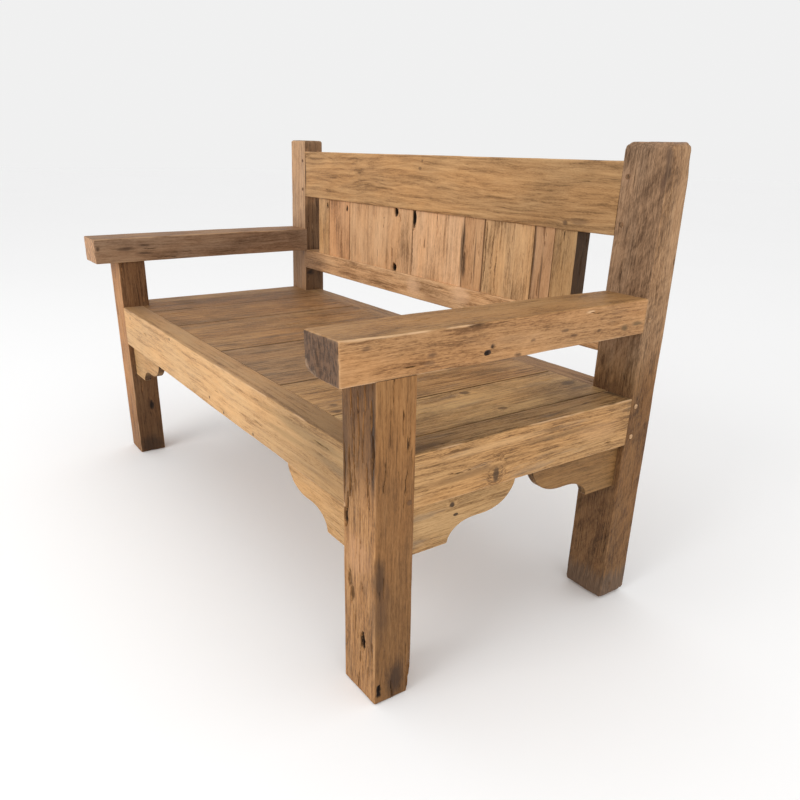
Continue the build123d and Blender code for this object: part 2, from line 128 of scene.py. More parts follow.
class BenchSizes(bpy.types.PropertyGroup):
    post_rake: length("Post rake", "How far the fronts of the posts lean back", 25 * MM)
    post_foot_depth: length("Post foot depth", "Depth of the posts at the floor", 75 * MM)
    post_top_depth: length("Post top depth", "Depth of the posts at the top", 62 * MM)
    wander: length("Wander", "How far the faces of the timbers stray inwards", 1.5 * MM)
    hewing: length("Hewing", "Depth of the shallow tool marks", 0.7 * MM)
    relief: length("Grain relief", "Depth of the weathered grain", 0.35 * MM)
    crack_depth: length("Crack depth", "Depth of the drying cracks", 3.2 * MM)
    bury: length("Bury", "How far a butted end runs into its neighbour", 2 * MM)
    mesh_along: length("Mesh along", "Mesh spacing along the grain", 6 * MM)


class BenchColours(bpy.types.PropertyGroup):
    crack: colour("Cracks", "Bottom of the cracks and holes", srgb(38, 26, 18))
    worn: colour("Worn edges", "Light rubbed edges", srgb(214, 176, 136))
    floor: colour("Floor", "The plain floor", (0.95, 0.95, 0.95))
    steel: colour("Steel", "Screws", (0.52, 0.51, 0.5))


def sizes():
    return bpy.context.scene.bench_sizes


def colours():
    return bpy.context.scene.bench_colours


# Shader maths

class Value:
    """A socket that takes part in Python expressions, each of which adds its Math node."""

    def __init__(self, tree, socket):
        self.tree = tree
        self.socket = socket

    def __add__(self, other):
        return self.tree.math("ADD", self, other)

    def __sub__(self, other):
        return self.tree.math("SUBTRACT", self, other)

    def __rsub__(self, other):
        return self.tree.math("SUBTRACT", other, self)

    def __mul__(self, other):
        return self.tree.math("MULTIPLY", self, other)

    def __truediv__(self, other):
        return self.tree.math("DIVIDE", self, other)

    def __rtruediv__(self, other):
        return self.tree.math("DIVIDE", other, self)

    def __abs__(self):
        return self.tree.math("ABSOLUTE", self)

    __radd__ = __add__
    __rmul__ = __mul__


class Tree:
    """A material's node tree."""

    def __init__(self, name):
        self.material = bpy.data.materials.new(name)
        self.material.use_nodes = True
        self.nodes = self.material.node_tree.nodes
        self.links = self.material.node_tree.links
        self.shader = self.nodes["Principled BSDF"]

    def node(self, kind, settings=None, **sockets):
        """Adds a node, with its settings first and then the values or links of its sockets, by name or as i0, i1."""
        node = self.nodes.new("ShaderNode" + kind)
        for key, value in (settings or {}).items():
            if key == "stops":
                self.set_stops(node.color_ramp, value)
            else:
                setattr(node, key, value)
        for key, value in sockets.items():
            self.feed(node.inputs[int(key[1:]) if key[1:].isdigit() else key.replace("_", " ")], value)
        return node

    @staticmethod
    def set_stops(ramp, stops):
        while len(ramp.elements) < len(stops):
            ramp.elements.new(1.0)
        for element, (place, shade) in zip(ramp.elements, stops):
            element.position = place
            element.color = (*shade, 1)

    def feed(self, socket, value):
        if isinstance(value, Value):
            value = value.socket
        if isinstance(value, bpy.types.NodeSocket):
            self.links.new(value, socket)
        elif hasattr(value, "__len__") and socket.type == "RGBA" and len(value) == 3:
            socket.default_value = (*value, 1)
        else:
            socket.default_value = value

    def math(self, operation, first, second=0.0):
        return Value(self, self.node("Math", {"operation": operation}, i0=first, i1=second).outputs[0])

    def vector(self, operation, *values):
        sockets = {"i%d" % index: value for index, value in enumerate(values)}
        node = self.node("VectorMath", {"operation": operation}, **sockets)
        return node.outputs["Value" if operation == "LENGTH" else "Vector"]

    def join(self, x, y, z):
        return self.node("CombineXYZ", X=x, Y=y, Z=z).outputs[0]

    def parts(self, vector):
        node = self.node("SeparateXYZ", Vector=vector)
        return [Value(self, socket) for socket in node.outputs]

    def step(self, value, low, high):
        """Goes smoothly from 0 to 1 as a value passes from low to high."""
        node = self.node("MapRange", {"interpolation_type": "SMOOTHSTEP"}, Value=value, From_Min=low, From_Max=high)
        return Value(self, node.outputs[0])

    def noise(self, vector, stretch, seed, detail=2.0, roughness=0.5, tint=False):
        place = self.vector("MULTIPLY_ADD", vector, stretch, (seed * 1.37, seed * 2.11, seed * 0.73))
        node = self.node("TexNoise", Vector=place, Scale=1.0, Detail=detail, Roughness=roughness)
        return node.outputs["Color"] if tint else Value(self, node.outputs[0])

    def mix(self, factor, first, second, blend="MIX"):
        node = self.node("Mix", {"data_type": "RGBA", "blend_type": blend})
        self.feed(node.inputs["Factor"], factor)
        shades = [socket for socket in node.inputs if socket.type == "RGBA"]
        self.feed(shades[0], first)
        self.feed(shades[1], second)
        return next(socket for socket in node.outputs if socket.type == "RGBA")

    def attribute(self, name):
        return Value(self, self.node("Attribute", {"attribute_name": name}).outputs["Fac"])


# Timber finish

# What a look says where a piece says nothing else. pith is the middle of the log, across the grain; gain tints the
# whole piece; faces has (axis, side, tint), painted light and shade on the faces that look that way; bands has
# (where it begins, where it is full, axis, tint) and, if only one face takes it, that face's axis and side, some of
# them painted shade under the arms and rails; calm is (axis, side, share of the plain colour); foot is (height,
# colour). The numbers from rings to checks, and figure, worn, grey and dirt, say how strong each is.
PLAIN = {
    "grain": X, "rake": 0.0, "ring": 0.006, "pith": (0.02, -0.09), "wobble": 0.012,
    "rings": 0.4, "streaks": 0.7, "fibres": 0.6, "grit": 0.45, "blotches": 0.45, "pores": 0.2, "checks": 0.25,
    "gain": (1, 1, 1), "faces": (), "marks": (), "end": None, "end_stretch": (220, 220, 220), "foot": None,
    "worn": 0.5, "bands": (), "figure": 0.0, "grey": 0.1, "contrast": 1.25, "coarse": 1.0, "dirt": 0.0,
    "calm": None,
}

# Patterns that follow the grain: how often each repeats in a metre along and across the grain, the step of its
# seed, and the detail and roughness of its noise
PATTERNS = {
    "streak": (10, 210, 1, 4, 0.6), "fibre": (20, 620, 2, 2, 0.6), "fine": (160, 1500, 3, 1, 0.5),
    "blotch": (6, 17, 4, 4, 0.62), "pore": (26, 520, 5, 1.5, 0.5), "ridge": (9, 120, 6, 2, 0.55),
    "patch": (9, 26, 7, 2, 0.5), "rubbed": (11, 50, 9, 2, 0.5), "grit": (80, 400, 12, 3, 0.7),
    "hue": (3.5, 16, 14, 3, 0.6), "weather": (5, 34, 15, 4, 0.65),
}

# Marks: how ragged the rim is, and the distances from the centre, in radii, where a mark begins and where it is full
MARKS = {"knot": (0.7, 1.1, 0.55), "stain": (1.5, 1.35, 0.35), "nail": (0.3, 1.05, 0.8), "hole": (0.6, 1.05, 0.8)}
HALO = (3.2, 0.6)

# Tints of the warmer and cooler wood, of its darkest lines and of the greyed skin
WARM, COOL, BROWN = (1.03, 0.99, 0.94), (0.98, 1.0, 1.03), (1.0, 0.94, 0.84)
WEATHERED = (1.25, 1.0, 0.78)


def tinted(shade, factor):
    """A colour times a number or times another colour."""
    return tuple(np.multiply(shade, factor))


def timber(name, seed, pale, mid, deep, **changes):
    """A finish of old hardwood whose rings, fibres, pores and cracks run through the whole piece."""
    look = {**PLAIN, **changes}
    tree = Tree(name)
    place = tree.node("TexCoord").outputs["Object"]
    if look["rake"]:
        turn = tree.node("VectorRotate", {"rotation_type": "X_AXIS"}, Vector=place, Angle=look["rake"])
        turn.inputs["Center"].default_value = (0, edge("back_post_right", Y, False), 0)
        place = turn.outputs[0]
    xyz = tree.parts(place)
    facing = tree.parts(tree.node("TexCoord").outputs["Normal"])
    grain = look["grain"]
    along, one, two = xyz[grain], xyz[(grain + 1) % 3], xyz[(grain + 2) % 3]
    log = tree.join(along, one, two)
    masks = [mark_mask(tree, place, grain, mark, seed) for mark in look["marks"]]
    for stretch, reach in (((2.2, 9, 9), 1.0), ((8, 30, 30), 0.3)):
        drift = tree.vector("SUBTRACT", tree.noise(log, stretch, seed, 2, tint=True), (0.5, 0.5, 0.5))
        log = tree.vector("MULTIPLY_ADD", drift, (0, reach * look["wobble"], reach * look["wobble"]), log)
    for (kind, _, (_, across), _, _), (_, halo) in zip(look["marks"], masks):
        if kind == "knot":
            bow = halo * (0.35 * across)
            log = tree.vector("ADD", log, tree.join(0.0, bow, bow))

    def pattern(kind):
        often, across, step, detail, roughness = PATTERNS[kind]
        coarse = look["coarse"] if kind == "streak" else 1
        return tree.noise(log, (often / coarse, across / coarse, across / coarse), seed + step, detail, roughness)

    def towards(axis, sign, low=0.55, high=0.85):
        return tree.step(facing[axis] * sign, low, high)

    # Light and dark of the wood, from the rings down to the fibres
    from_pith = tree.vector("SUBTRACT", log, (0, *look["pith"]))
    radius = Value(tree, tree.vector("LENGTH", tree.vector("MULTIPLY", from_pith, (0.04, 1, 1))))
    ring = tree.node("TexNoise", {"noise_dimensions": "1D"}, W=radius / look["ring"] + seed * 3.1,
                     Scale=1.0, Detail=3.0, Roughness=0.65)
    ring = Value(tree, ring.outputs[0])
    streak, fibre, grit, fine = pattern("streak"), pattern("fibre"), pattern("grit"), pattern("fine")
    blotch = pattern("blotch")
    ripple = tree.noise(place, (9, 9, 9), seed + 17, 2, 0.5)
    figure = tree.noise(tree.join(along * 0.7 - one * 0.7 - two * 0.7 + ripple * 0.06, one, two),
                        (60, 22, 22), seed + 13, 3, 0.65)
    stir = ((ring - 0.5) * (1.3 * look["rings"]) + (streak - 0.5) * (1.6 * look["streaks"])
            + (fibre - 0.5) * (1.7 * look["fibres"]) + (blotch - 0.5) * (1.7 * look["blotches"])
            + (grit - 0.5) * (1.3 * look["grit"]) + (figure - 0.5) * look["figure"] + (fine - 0.5) * 0.6)
    tone = 0.5 + stir * look["contrast"]
    pale, mid, deep = (tinted(srgb(*shade), look["gain"]) for shade in (pale, mid, deep))
    deep = tinted(deep, BROWN)
    shade = tree.node("ValToRGB", {"stops": ((0.0, deep), (0.45, mid), (0.95, pale))}, Fac=tone).outputs[0]
    shade = tree.mix(tree.step(pattern("hue"), 0.36, 0.64), tree.mix(1.0, shade, WARM, "MULTIPLY"),
                     tree.mix(1.0, shade, COOL, "MULTIPLY"))

    # Weather, dirt, pores and fine checks
    weather = tree.step(pattern("weather"), 0.54, 0.68)
    shade = tree.mix(weather * look["grey"], shade, tinted(WEATHERED, 0.6 * sum(mid) / 3))
    if look["dirt"]:
        dirt = tree.step(tree.noise(place, (9, 9, 9), seed + 16, 4, 0.65), 0.5, 0.72)
        shade = tree.mix(dirt * look["dirt"], shade, tinted(mid, 0.45))
    pore = tree.step(pattern("pore"), 0.6, 0.72)
    shade = tree.mix(pore * look["pores"], shade, tinted(deep, 0.45))
    check = tree.step(abs(pattern("ridge") - 0.5), 0.02, 0.0) * tree.step(pattern("patch"), 0.52, 0.66)
    shade = tree.mix(check * look["checks"], shade, tuple(colours().crack))

    # Faces that look one way and stretches that are lighter or darker, much of it painted light and shade, the foot
    # and the end grain
    if look["calm"]:
        axis, sign, amount = look["calm"]
        shade = tree.mix(towards(axis, sign) * amount, shade, mid)
    # Painted light and shade: each face is tinted by the way it looks
    for axis, sign, tint in look["faces"]:
        shade = tree.mix(towards(axis, sign), shade, tint, "MULTIPLY")
    # Stretches along an axis tinted darker or lighter; some are painted shade under the arms and rails
    for low, high, axis, tint, *face in look["bands"]:
        band = tree.step(xyz[axis] + (streak - 0.5) * 0.08 + (fibre - 0.5) * 0.05, low, high)
        if face:
            band = band * towards(*face, 0.5, 0.8)
        shade = tree.mix(band, shade, tint, "MULTIPLY")
    if look["foot"]:
        height, grey = look["foot"][0], srgb(*look["foot"][1])
        foot = tree.step(xyz[Z] + (fibre - 0.5) * 0.05 + (streak - 0.5) * 0.07, height, height * 0.55)
        greyed = tree.mix(tree.step(fibre, 0.44, 0.6), grey, tinted(grey, 1.75))
        shade = tree.mix(foot * 0.9, shade, greyed)
    end_shade = srgb(*look["end"]) if look["end"] else tinted(mid, 0.55)
    end_streak = tree.noise(place, look["end_stretch"], seed + 8, 3, 0.6)
    end_tone = tree.mix(tree.step(end_streak + (ring - 0.5) * 0.3, 0.38, 0.62),
                        tinted(end_shade, 0.6), tinted(end_shade, 1.35))
    shade = tree.mix(tree.step(abs(facing[grain]), 0.6, 0.9), shade, end_tone)

    # Marks, rubbed arrises and the bottoms of cracks
    for (_, _, _, tint, _), (mask, _) in zip(look["marks"], masks):
        shade = tree.mix(mask, shade, srgb(*tint))
    rubbed = tree.attribute("wear") * tree.step(pattern("rubbed"), 0.42, 0.56)
    shade = tree.mix(rubbed * look["worn"], shade, tuple(colours().worn))
    sunk = tree.attribute("sunk")
    shade = tree.mix(tree.step(sunk, 0.12, 0.85), shade, tuple(colours().crack))

    shader = tree.shader
    tree.feed(shader.inputs["Base Color"], shade)
    rough = 0.6 + (fibre - 0.5) * 0.25 + (blotch - 0.5) * 0.2 + sunk * 0.2
    tree.feed(shader.inputs["Roughness"], tree.math("MINIMUM", rough, 0.95))
    shader.inputs["Specular IOR Level"].default_value = 0.22
    height = fibre * 0.9 + fine * 0.35 + streak * 0.6 - pore * 0.35 - check * 1.2
    bump = tree.node("Bump", Strength=0.55, Distance=0.9 * MM, Height=height)
    tree.feed(shader.inputs["Normal"], bump.outputs[0])
    return tree.material


def mark_mask(tree, place, grain, mark, seed):
    """The mask and the wide halo of a knot, stain, nail or hole about a point."""
    kind, centre, (along, across), _, strength = mark
    wave, rim, full = MARKS[kind]
    stretch = [1 / across] * 3
    stretch[grain] = 1 / along
    away = tree.vector("MULTIPLY", tree.vector("SUBTRACT", place, centre), stretch)
    distance = Value(tree, tree.vector("LENGTH", away))
    ragged = tree.noise(place, tinted(stretch, 0.9), seed + 20, 3, 0.65)
    mask = tree.step(distance + (ragged - 0.5) * wave, rim, full) * strength
    return mask, tree.step(distance, *HALO)


def spots(kind, axis, place, rows):
    """Marks on the faces across an axis. place is where they lie along that axis. Each row has the places along
    the two other axes, the reach along and across the grain, all in millimetres, the colour and the strength."""
    for first, second, along, across, tint, strength in rows:
        centre = [first * MM, second * MM]
        centre.insert(axis, place * MM)
        yield kind, centre, (along * MM, across * MM), tint, strength


# Looks of each piece. Colours are as picked on a screen, from 0 to 255; gains and tints are shares of light.

DARK = (52, 36, 26)
BLACK = (14, 9, 6)
LEG_RIGHT = dict(
    seed=11, grain=Z, pale=(196, 150, 106), mid=(164, 120, 78), deep=(100, 70, 44), gain=(0.86, 0.83, 0.73),
    pith=(-0.23, 0.75), ring=0.005, streaks=0.7, checks=0.55, pores=0.45, contrast=1.4, calm=(X, 1, 0.4),
    # The first band is painted shadow, the arm's shade on the top of the leg's front, with a darker stain in it
    bands=((0.36, 0.46, Z, (0.49, 0.45, 0.40), Y, -1), (0.32, 0.10, Z, (0.84, 0.84, 0.82), X, 1),
           (0.38, 0.5, Z, (1.16, 1.16, 1.13), X, 1)),
    faces=((X, 1, (0.76, 0.72, 0.66)),), worn=0.14, grit=0.6,
    marks=(
        *spots("stain", X, 711, (
            (-256, 42, 40, 18, DARK, 0.8),
            (-291, 31, 6, 5, DARK, 0.9),
            (-291, 20, 5, 5, DARK, 0.9),
            (-287, 190, 60, 16, (84, 60, 42), 0.55))),
        *spots("stain", Y, -300, (
            (655, 265, 45, 35, (196, 148, 108), 0.45),
            (690, 275, 20, 10, (150, 108, 74), 0.5),
            (622, 440, 100, 12, (60, 44, 32), 0.5),
            (704, 470, 90, 6, (46, 29, 15), 0.85))),
        *spots("stain", X, 711, ((-291, 250, 35, 12, (66, 46, 30), 0.75),)),
        *spots("nail", Y, -300, ((617, 345, 4.5, 4.5, (196, 156, 116), 0.7),)),
        *spots("stain", Y, -300, ((636, 400, 30, 3, (30, 20, 14), 0.9),)),
        *spots("hole", Y, -300, (
            (674, 112, 12, 5.5, (20, 13, 9), 0.98),
            (621, 324, 11, 5, (44, 30, 20), 0.8))),
    ))
LEG_LEFT = dict(
    gain=(0.88, 0.79, 0.66), seed=12, grain=Z, pale=(206, 160, 116), mid=(182, 136, 94), deep=(112, 80, 52),
    # faces paints shade on the inner face, which lies under the arm beside the seat
    pith=(-0.2, -0.6), checks=0.5, faces=((X, 1, (0.37, 0.37, 0.39)),),
    bands=((0.30, 0.06, Z, (0.66, 0.63, 0.58)),),
    marks=(
        *spots("knot", X, -613, ((-252, 148, 16, 8, (30, 22, 16), 0.95),)),
        *spots("stain", X, -613, ((-262, 20, 30, 40, (40, 28, 20), 0.6),)),
    ))
POST_RIGHT = dict(
    gain=(0.75, 0.78, 0.78), seed=21, grain=Z, pale=(180, 142, 110), mid=(146, 112, 84), deep=(96, 70, 50),
    pith=(0.3, 0.75), ring=0.004, rings=0.3, streaks=0.3, figure=0.9, wobble=0.03, foot=(0.075, (90, 71, 55)),
    contrast=1.35, checks=0.12,
    bands=((0.58, 0.46, Z, (0.67, 0.57, 0.4)), (0.60, 0.57, Z, (1.12, 1.15, 1.16), Y, -1),
           (0.54, 0.44, Z, (0.84, 0.82, 0.8), X, 1), (0.50, 0.45, Z, (0.9, 0.86, 0.86), Y, -1)),
    faces=((X, 1, (1.35, 1.29, 1.15)),), worn=0.12, grit=0.8, end=(140, 108, 82),
    marks=(
        *spots("stain", X, 711, ((340, 770, 130, 14, (204, 158, 114), 0.3),)),
        *spots("stain", Y, 292, (
            (622, 843, 14, 12, (160, 126, 98), 0.6),
            (709, 880, 20, 9, (92, 68, 50), 0.85))),
        *spots("stain", X, 710, ((293, 854, 17, 8, (80, 57, 40), 0.9),)),
        *spots("stain", Y, 292, ((703, 836, 15, 7, (92, 66, 48), 0.8),)),
    ))
POST_LEFT = dict(
    gain=(0.9, 0.91, 0.91), seed=22, grain=Z, pale=(208, 166, 128), mid=(188, 148, 112), deep=(120, 90, 64),
    # faces paints shade on the inner face; the first and last bands are painted shade on that face below and above
    # the top rail
    pith=(0.36, -0.6), faces=((X, 1, (0.72, 0.66, 0.58)),), worn=0.3,
    bands=((0.74, 0.70, Z, (0.47, 0.44, 0.40), X, 1), (0.6, 0.55, Z, (0.74, 0.70, 0.65)),
           (0.864, 0.876, Z, (0.58, 0.58, 0.60), X, 1)),
    marks=(
        # Painted shadow: the dark patch that the bottom rail casts on the post's inner face just below it
        *spots("stain", X, -611, ((302, 507, 9, 12, (36, 26, 18), 0.9),)),
    ))
ARM_RIGHT = dict(
    gain=(0.93, 0.89, 0.83), seed=31, grain=Y, pale=(202, 156, 110), mid=(178, 134, 90), deep=(122, 88, 58),
    pith=(0.53, 0.66), ring=0.007, streaks=0.6, fibres=0.45, blotches=0.75, end=(94, 69, 50),
    end_stretch=(200, 40, 60), faces=((Z, 1, (0.77, 0.78, 0.71)),), worn=0.9, grit=0.85,
    marks=(
        *spots("hole", X, 711, ((-92, 591, 8, 5, (52, 38, 34), 0.95),)),
        *spots("stain", X, 711, ((-82, 600, 5, 4, (64, 46, 36), 0.9),)),
        *spots("knot", X, 710, ((-115, 638, 21, 5, (100, 72, 50), 0.8),)),
        *spots("stain", X, 711, (
            (-200, 602, 10, 4, (96, 68, 48), 0.7),
            (-314, 627, 9, 4, (104, 76, 54), 0.6),
            (-27, 579, 8, 4, (84, 60, 42), 0.8),
            (5, 599, 7, 3, (96, 70, 50), 0.7),
            (233, 593, 10, 6, (104, 82, 54), 0.8),
            (265, 597, 18, 4, (104, 82, 54), 0.8),
            (165, 596, 7, 3, (84, 56, 34), 0.8),
            (102, 595, 11, 3, (96, 66, 42), 0.8),
            (78, 606, 9, 4, (104, 76, 52), 0.8),
            (137, 631, 12, 3, (232, 194, 152), 0.7),
            (-204, 590, 12, 4, (112, 82, 58), 0.6))),
        *spots("stain", X, 709.5, (
            (-318, 641, 30, 2.6, (228, 188, 144), 0.65),
            (-275, 640, 34, 2.6, (228, 188, 144), 0.65),
            (-225, 640, 34, 2.4, (224, 182, 138), 0.6),
            (-148, 639.5, 30, 2.2, (224, 182, 138), 0.6))),
    ))
ARM_LEFT = dict(
    gain=(0.77, 0.7, 0.62), seed=32, grain=Y, pale=(168, 142, 116), mid=(144, 116, 92), deep=(96, 74, 54),
    pith=(0.53, -0.72), faces=((X, 1, (1.08, 1.1, 1.15)), (Z, 1, (1.25, 1.15, 0.98))), end=(176, 134, 98),
    end_stretch=(200, 40, 60), blotches=0.9, grit=0.7, contrast=0.95,
    marks=(
        *spots("stain", X, -603, (
            (-278, 612, 30, 5, (70, 50, 36), 0.7),
            (-223, 620, 22, 4, (70, 50, 36), 0.7),
            (-225, 598, 26, 4, (70, 50, 36), 0.7),
            (-350, 615, 5, 6, (60, 42, 30), 0.7))),
    ))
FRONT_RAIL = dict(
    gain=(0.87, 0.84, 0.78), seed=41, grain=X, pale=(232, 190, 140), mid=(216, 172, 122), deep=(158, 120, 80),
    pith=(-0.33, 0.46), ring=0.008, faces=((Z, 1, (0.67, 0.65, 0.63)),), pores=0.1, checks=0.12,
    bands=((0.15, 0.60, X, (0.6, 0.59, 0.55)),), grey=0.12, wobble=0.02, worn=0.6, rings=0.6, streaks=0.5,
    fibres=0.5, grit=0.35, blotches=0.6,
    marks=(
        *spots("nail", Y, -300, (
            (-560, 428, 4, 4, DARK, 0.8),
            (-222, 440, 4, 4, DARK, 0.8),
            (29, 362, 4, 4, DARK, 0.8),
            (108, 349, 4, 4, DARK, 0.8),
            (259, 349, 4, 4, DARK, 0.8))),
        *spots("stain", X, -600, ((-258, 468, 170, 42, (146, 114, 84), 0.8),)),
        *spots("stain", Y, -300, (
            (500, 425, 120, 12, (134, 108, 72), 0.5),
            (580, 400, 90, 10, (120, 96, 66), 0.5),
            (420, 398, 90, 7, (150, 120, 80), 0.5),
            (340, 426, 70, 6, (160, 128, 86), 0.45),
            (530, 365, 80, 6, (132, 102, 68), 0.5))),
    ))
BACK_RAIL = dict(
    gain=(0.74, 0.7, 0.64), seed=42, grain=X, pale=(196, 156, 112), mid=(168, 130, 90), deep=(112, 84, 56),
    pith=(0.4, 0.3), worn=0.2)
SIDE_RAIL_RIGHT = dict(
    gain=(0.9, 0.86, 0.78), seed=44, grain=Y, pale=(208, 164, 114), mid=(182, 140, 94), deep=(120, 90, 58),
    pith=(0.37, 0.80), ring=0.008, rings=0.7, streaks=0.9, faces=((Z, 1, (0.76, 0.83, 0.9)),), grey=0.35,
    wobble=0.03, checks=0.12, worn=0.8, contrast=1.5,
    marks=(
        *spots("knot", X, 711, ((-55, 374, 8, 17, (78, 58, 40), 0.85),)),
        *spots("stain", X, 711, (
            (-120, 388, 110, 7, (128, 94, 58), 0.6),
            (100, 415, 100, 6, (120, 92, 60), 0.5),
            (-50, 430, 140, 8, (214, 170, 120), 0.5),
            (200, 400, 60, 20, (206, 160, 112), 0.4))),
        *spots("stain", Z, 449, (
            (690, -200, 70, 12, (66, 50, 36), 0.6),
            (655, 280, 14, 50, (84, 66, 46), 0.8))),
    ))
SIDE_RAIL_LEFT = dict(
    gain=(0.9, 0.87, 0.8), seed=43, grain=Y, pale=(206, 164, 118), mid=(180, 140, 96), deep=(122, 90, 58),
    pith=(0.37, -0.8))
SEAT_BOARD = dict(
    grain=Y, pale=(176, 140, 102), mid=(150, 116, 82), deep=(106, 80, 54),
    ring=0.007, rings=0.4, streaks=0.6, fibres=0.5, grit=0.4, blotches=0.5, pores=0.15, checks=0.12, grey=0.3,
    contrast=1.9, dirt=0.5)
SEAT_PITHS = ((0.40, -0.60), (0.39, -0.43), (0.36, -0.2), (0.40, 0.15), (0.38, 0.4), (0.39, 0.55))
SEAT_CHANGES = {
    1: dict(gain=(0.84, 0.74, 0.58)),
    2: dict(gain=(0.94, 0.84, 0.67)),
    3: dict(gain=(0.99, 0.9, 0.72)),
    4: dict(gain=(0.86, 0.82, 0.74), marks=(
        *spots("stain", Z, 450, (
            (114, -207, 20, 5, (100, 76, 54), 0.6),
            (299, -210, 20, 8, (96, 72, 50), 0.6),
            (160, -228, 12, 4, (96, 72, 50), 0.6),
            (248, -229, 14, 4, (92, 68, 48), 0.6))),
    )),
    5: dict(gain=(1.12, 1.07, 0.88), marks=(
        *spots("stain", Z, 450, (
            (474, -228, 12, 8, (84, 62, 44), 0.8),
            (443, -216, 10, 8, (90, 66, 46), 0.7))),
        *spots("knot", Z, 450, ((573, 258, 20, 14, (84, 62, 44), 0.6),)),
    )),
    6: dict(gain=(1.32, 1.38, 1.2), marks=(
        *spots("knot", Z, 450, (
            (512, 33, 13, 10, (84, 62, 44), 0.8),
            (618, 36, 12, 9, (90, 66, 46), 0.7))),
        *spots("stain", Z, 450, ((604, 262, 30, 10, (100, 78, 56), 0.6),)),
        *spots("knot", Z, 450, ((573, 254, 20, 12, (84, 62, 44), 0.6),)),
    )),
}
TOP_RAIL = dict(
    gain=(0.91, 0.91, 0.85), seed=61, grain=X, pale=(206, 160, 112), mid=(180, 136, 92), deep=(122, 90, 58),
    pith=(0.2, 0.86), ring=0.008, rings=0.5, wobble=0.04, streaks=1.15, fibres=0.35, grit=0.2, pores=0.05,
    coarse=1.9, checks=0.02, grey=0.0, blotches=0.25,
    bands=((0.15, 0.5, X, (0.8, 0.82, 0.84)),),
    marks=(
        *spots("knot", Y, 295, (
            (0, 858, 6, 4, (104, 76, 50), 0.7),
            (-8, 840, 9, 5, (104, 76, 50), 0.7),
            (487, 753, 9, 7, (92, 68, 48), 0.8))),
        *spots("stain", Y, 295, ((520, 757, 30, 6, (110, 82, 58), 0.6),)),
        *spots("stain", Y, 292, ((-608.5, 800, 3.5, 62, (60, 42, 28), 0.9),)),
    ))
BOTTOM_RAIL = dict(
    gain=(1.12, 1.16, 1.15), seed=62, grain=X, pale=(208, 164, 122), mid=(180, 136, 96), deep=(122, 88, 58),
    pith=(0.22, 0.55), coarse=1.6, checks=0.05, blotches=0.75, contrast=1.3, pores=0.1, grey=0.0,
    bands=((-0.42, -0.56, X, (0.6, 0.56, 0.52)),),
    marks=(
        *spots("stain", Y, 283, (
            # The first two, pale patches, are painted sheen on the rail's front
            (-18, 552, 30, 26, (226, 184, 146), 0.5),
            (177, 562, 35, 26, (226, 184, 146), 0.5),
            (80, 530, 60, 12, (140, 98, 64), 0.5))),
    ))
BACK_BOARD = dict(
    grain=Z, pale=(218, 172, 128), mid=(196, 150, 108), deep=(126, 92, 60),
    pith=(-0.1, 0.4), ring=0.005, checks=0.3, pores=0.2, streaks=0.4, fibres=0.35, contrast=1.2, blotches=0.9)
BACK_CRACKS = (0.1, 0.1, 0.1, 0.15, 0.15, 0.7, 0.25, 0.3, 0.2)
BACK_GRIME = (0.1, 0.5, 0.1, 0.1, 0.15, 0.6, 0.6, 0.2, 0.2)
BACK_CHANGES = {
    1: dict(gain=(1.02, 1.04, 0.94)),
    2: dict(gain=(1.0, 0.93, 0.87)),
    3: dict(gain=(1.04, 1.05, 1.04)),
    4: dict(gain=(1.04, 1.05, 1.04), marks=(
        *spots("hole", X, -114, (
            (277, 731, 8.5, 7.5, BLACK, 0.98),
            (277, 588, 8.5, 7.5, BLACK, 0.98))),
    )),
    5: dict(gain=(1.2, 1.26, 1.34), contrast=0.95, marks=(
        *spots("hole", Y, 281, ((-31, 722, 24, 10.5, BLACK, 0.98),)),
        *spots("stain", Y, 277, (
            (-37, 660, 60, 2.5, (50, 36, 25), 0.85),
            (165, 660, 70, 5, (74, 52, 33), 0.8))),
    )),
    6: dict(gain=(0.86, 0.82, 0.76), checks=0.7, marks=(
        *spots("stain", Y, 277, (
            (171, 690, 50, 6, (62, 43, 28), 0.9),
            (177, 630, 35, 7, (70, 49, 31), 0.85),
            (215, 650, 60, 3, (80, 58, 36), 0.7))),
    )),
    7: dict(gain=(0.94, 0.98, 0.93)),
    8: dict(gain=(0.74, 0.72, 0.7), checks=0.7, marks=(
        *spots("stain", Y, 277, (
            (405, 680, 60, 3, (64, 46, 30), 0.8),
            (430, 640, 50, 3, (80, 58, 38), 0.7))),
    )),
    # Board 9's faces tint is painted shade on its end face, in the narrow gap by the near post
    9: dict(gain=(0.72, 0.76, 0.68), checks=0.5, faces=((X, 1, (0.19, 0.17, 0.16)),)),
}
# The dark end colour and the faces tints are painted shadow on the brackets' underside and lower edge
FRONT_BRACKET = dict(
    gain=(0.87, 0.84, 0.74), pale=(212, 170, 124), mid=(196, 154, 108), deep=(144, 110, 72), pith=(0.1, 0.3),
    end=(84, 60, 40), faces=((Z, -1, (0.42, 0.40, 0.37)), (X, 1, (0.38, 0.36, 0.31))))
SIDE_BRACKET = dict(
    gain=(0.96, 0.94, 0.86), pale=(204, 164, 118), mid=(180, 142, 98), deep=(126, 96, 62), pith=(0.3, 0.6),
    grey=0.4)
REAR_BRACKET = dict(
    gain=(0.86, 0.82, 0.7), pale=(166, 128, 86), mid=(144, 108, 70), deep=(104, 78, 50), pith=(0.3, 0.6))
BRACKET_MARKS = (
    *spots("knot", X, 697, ((-137, 333, 6, 6, (56, 40, 30), 0.9),)),
    *spots("nail", X, 697, ((-128.5, 313, 6, 3, (50, 36, 28), 0.9),)),
)
PEG = dict(seed=90, grain=Y, pale=(178, 138, 100), mid=(142, 106, 74), deep=(96, 68, 44), pith=(0, 0))
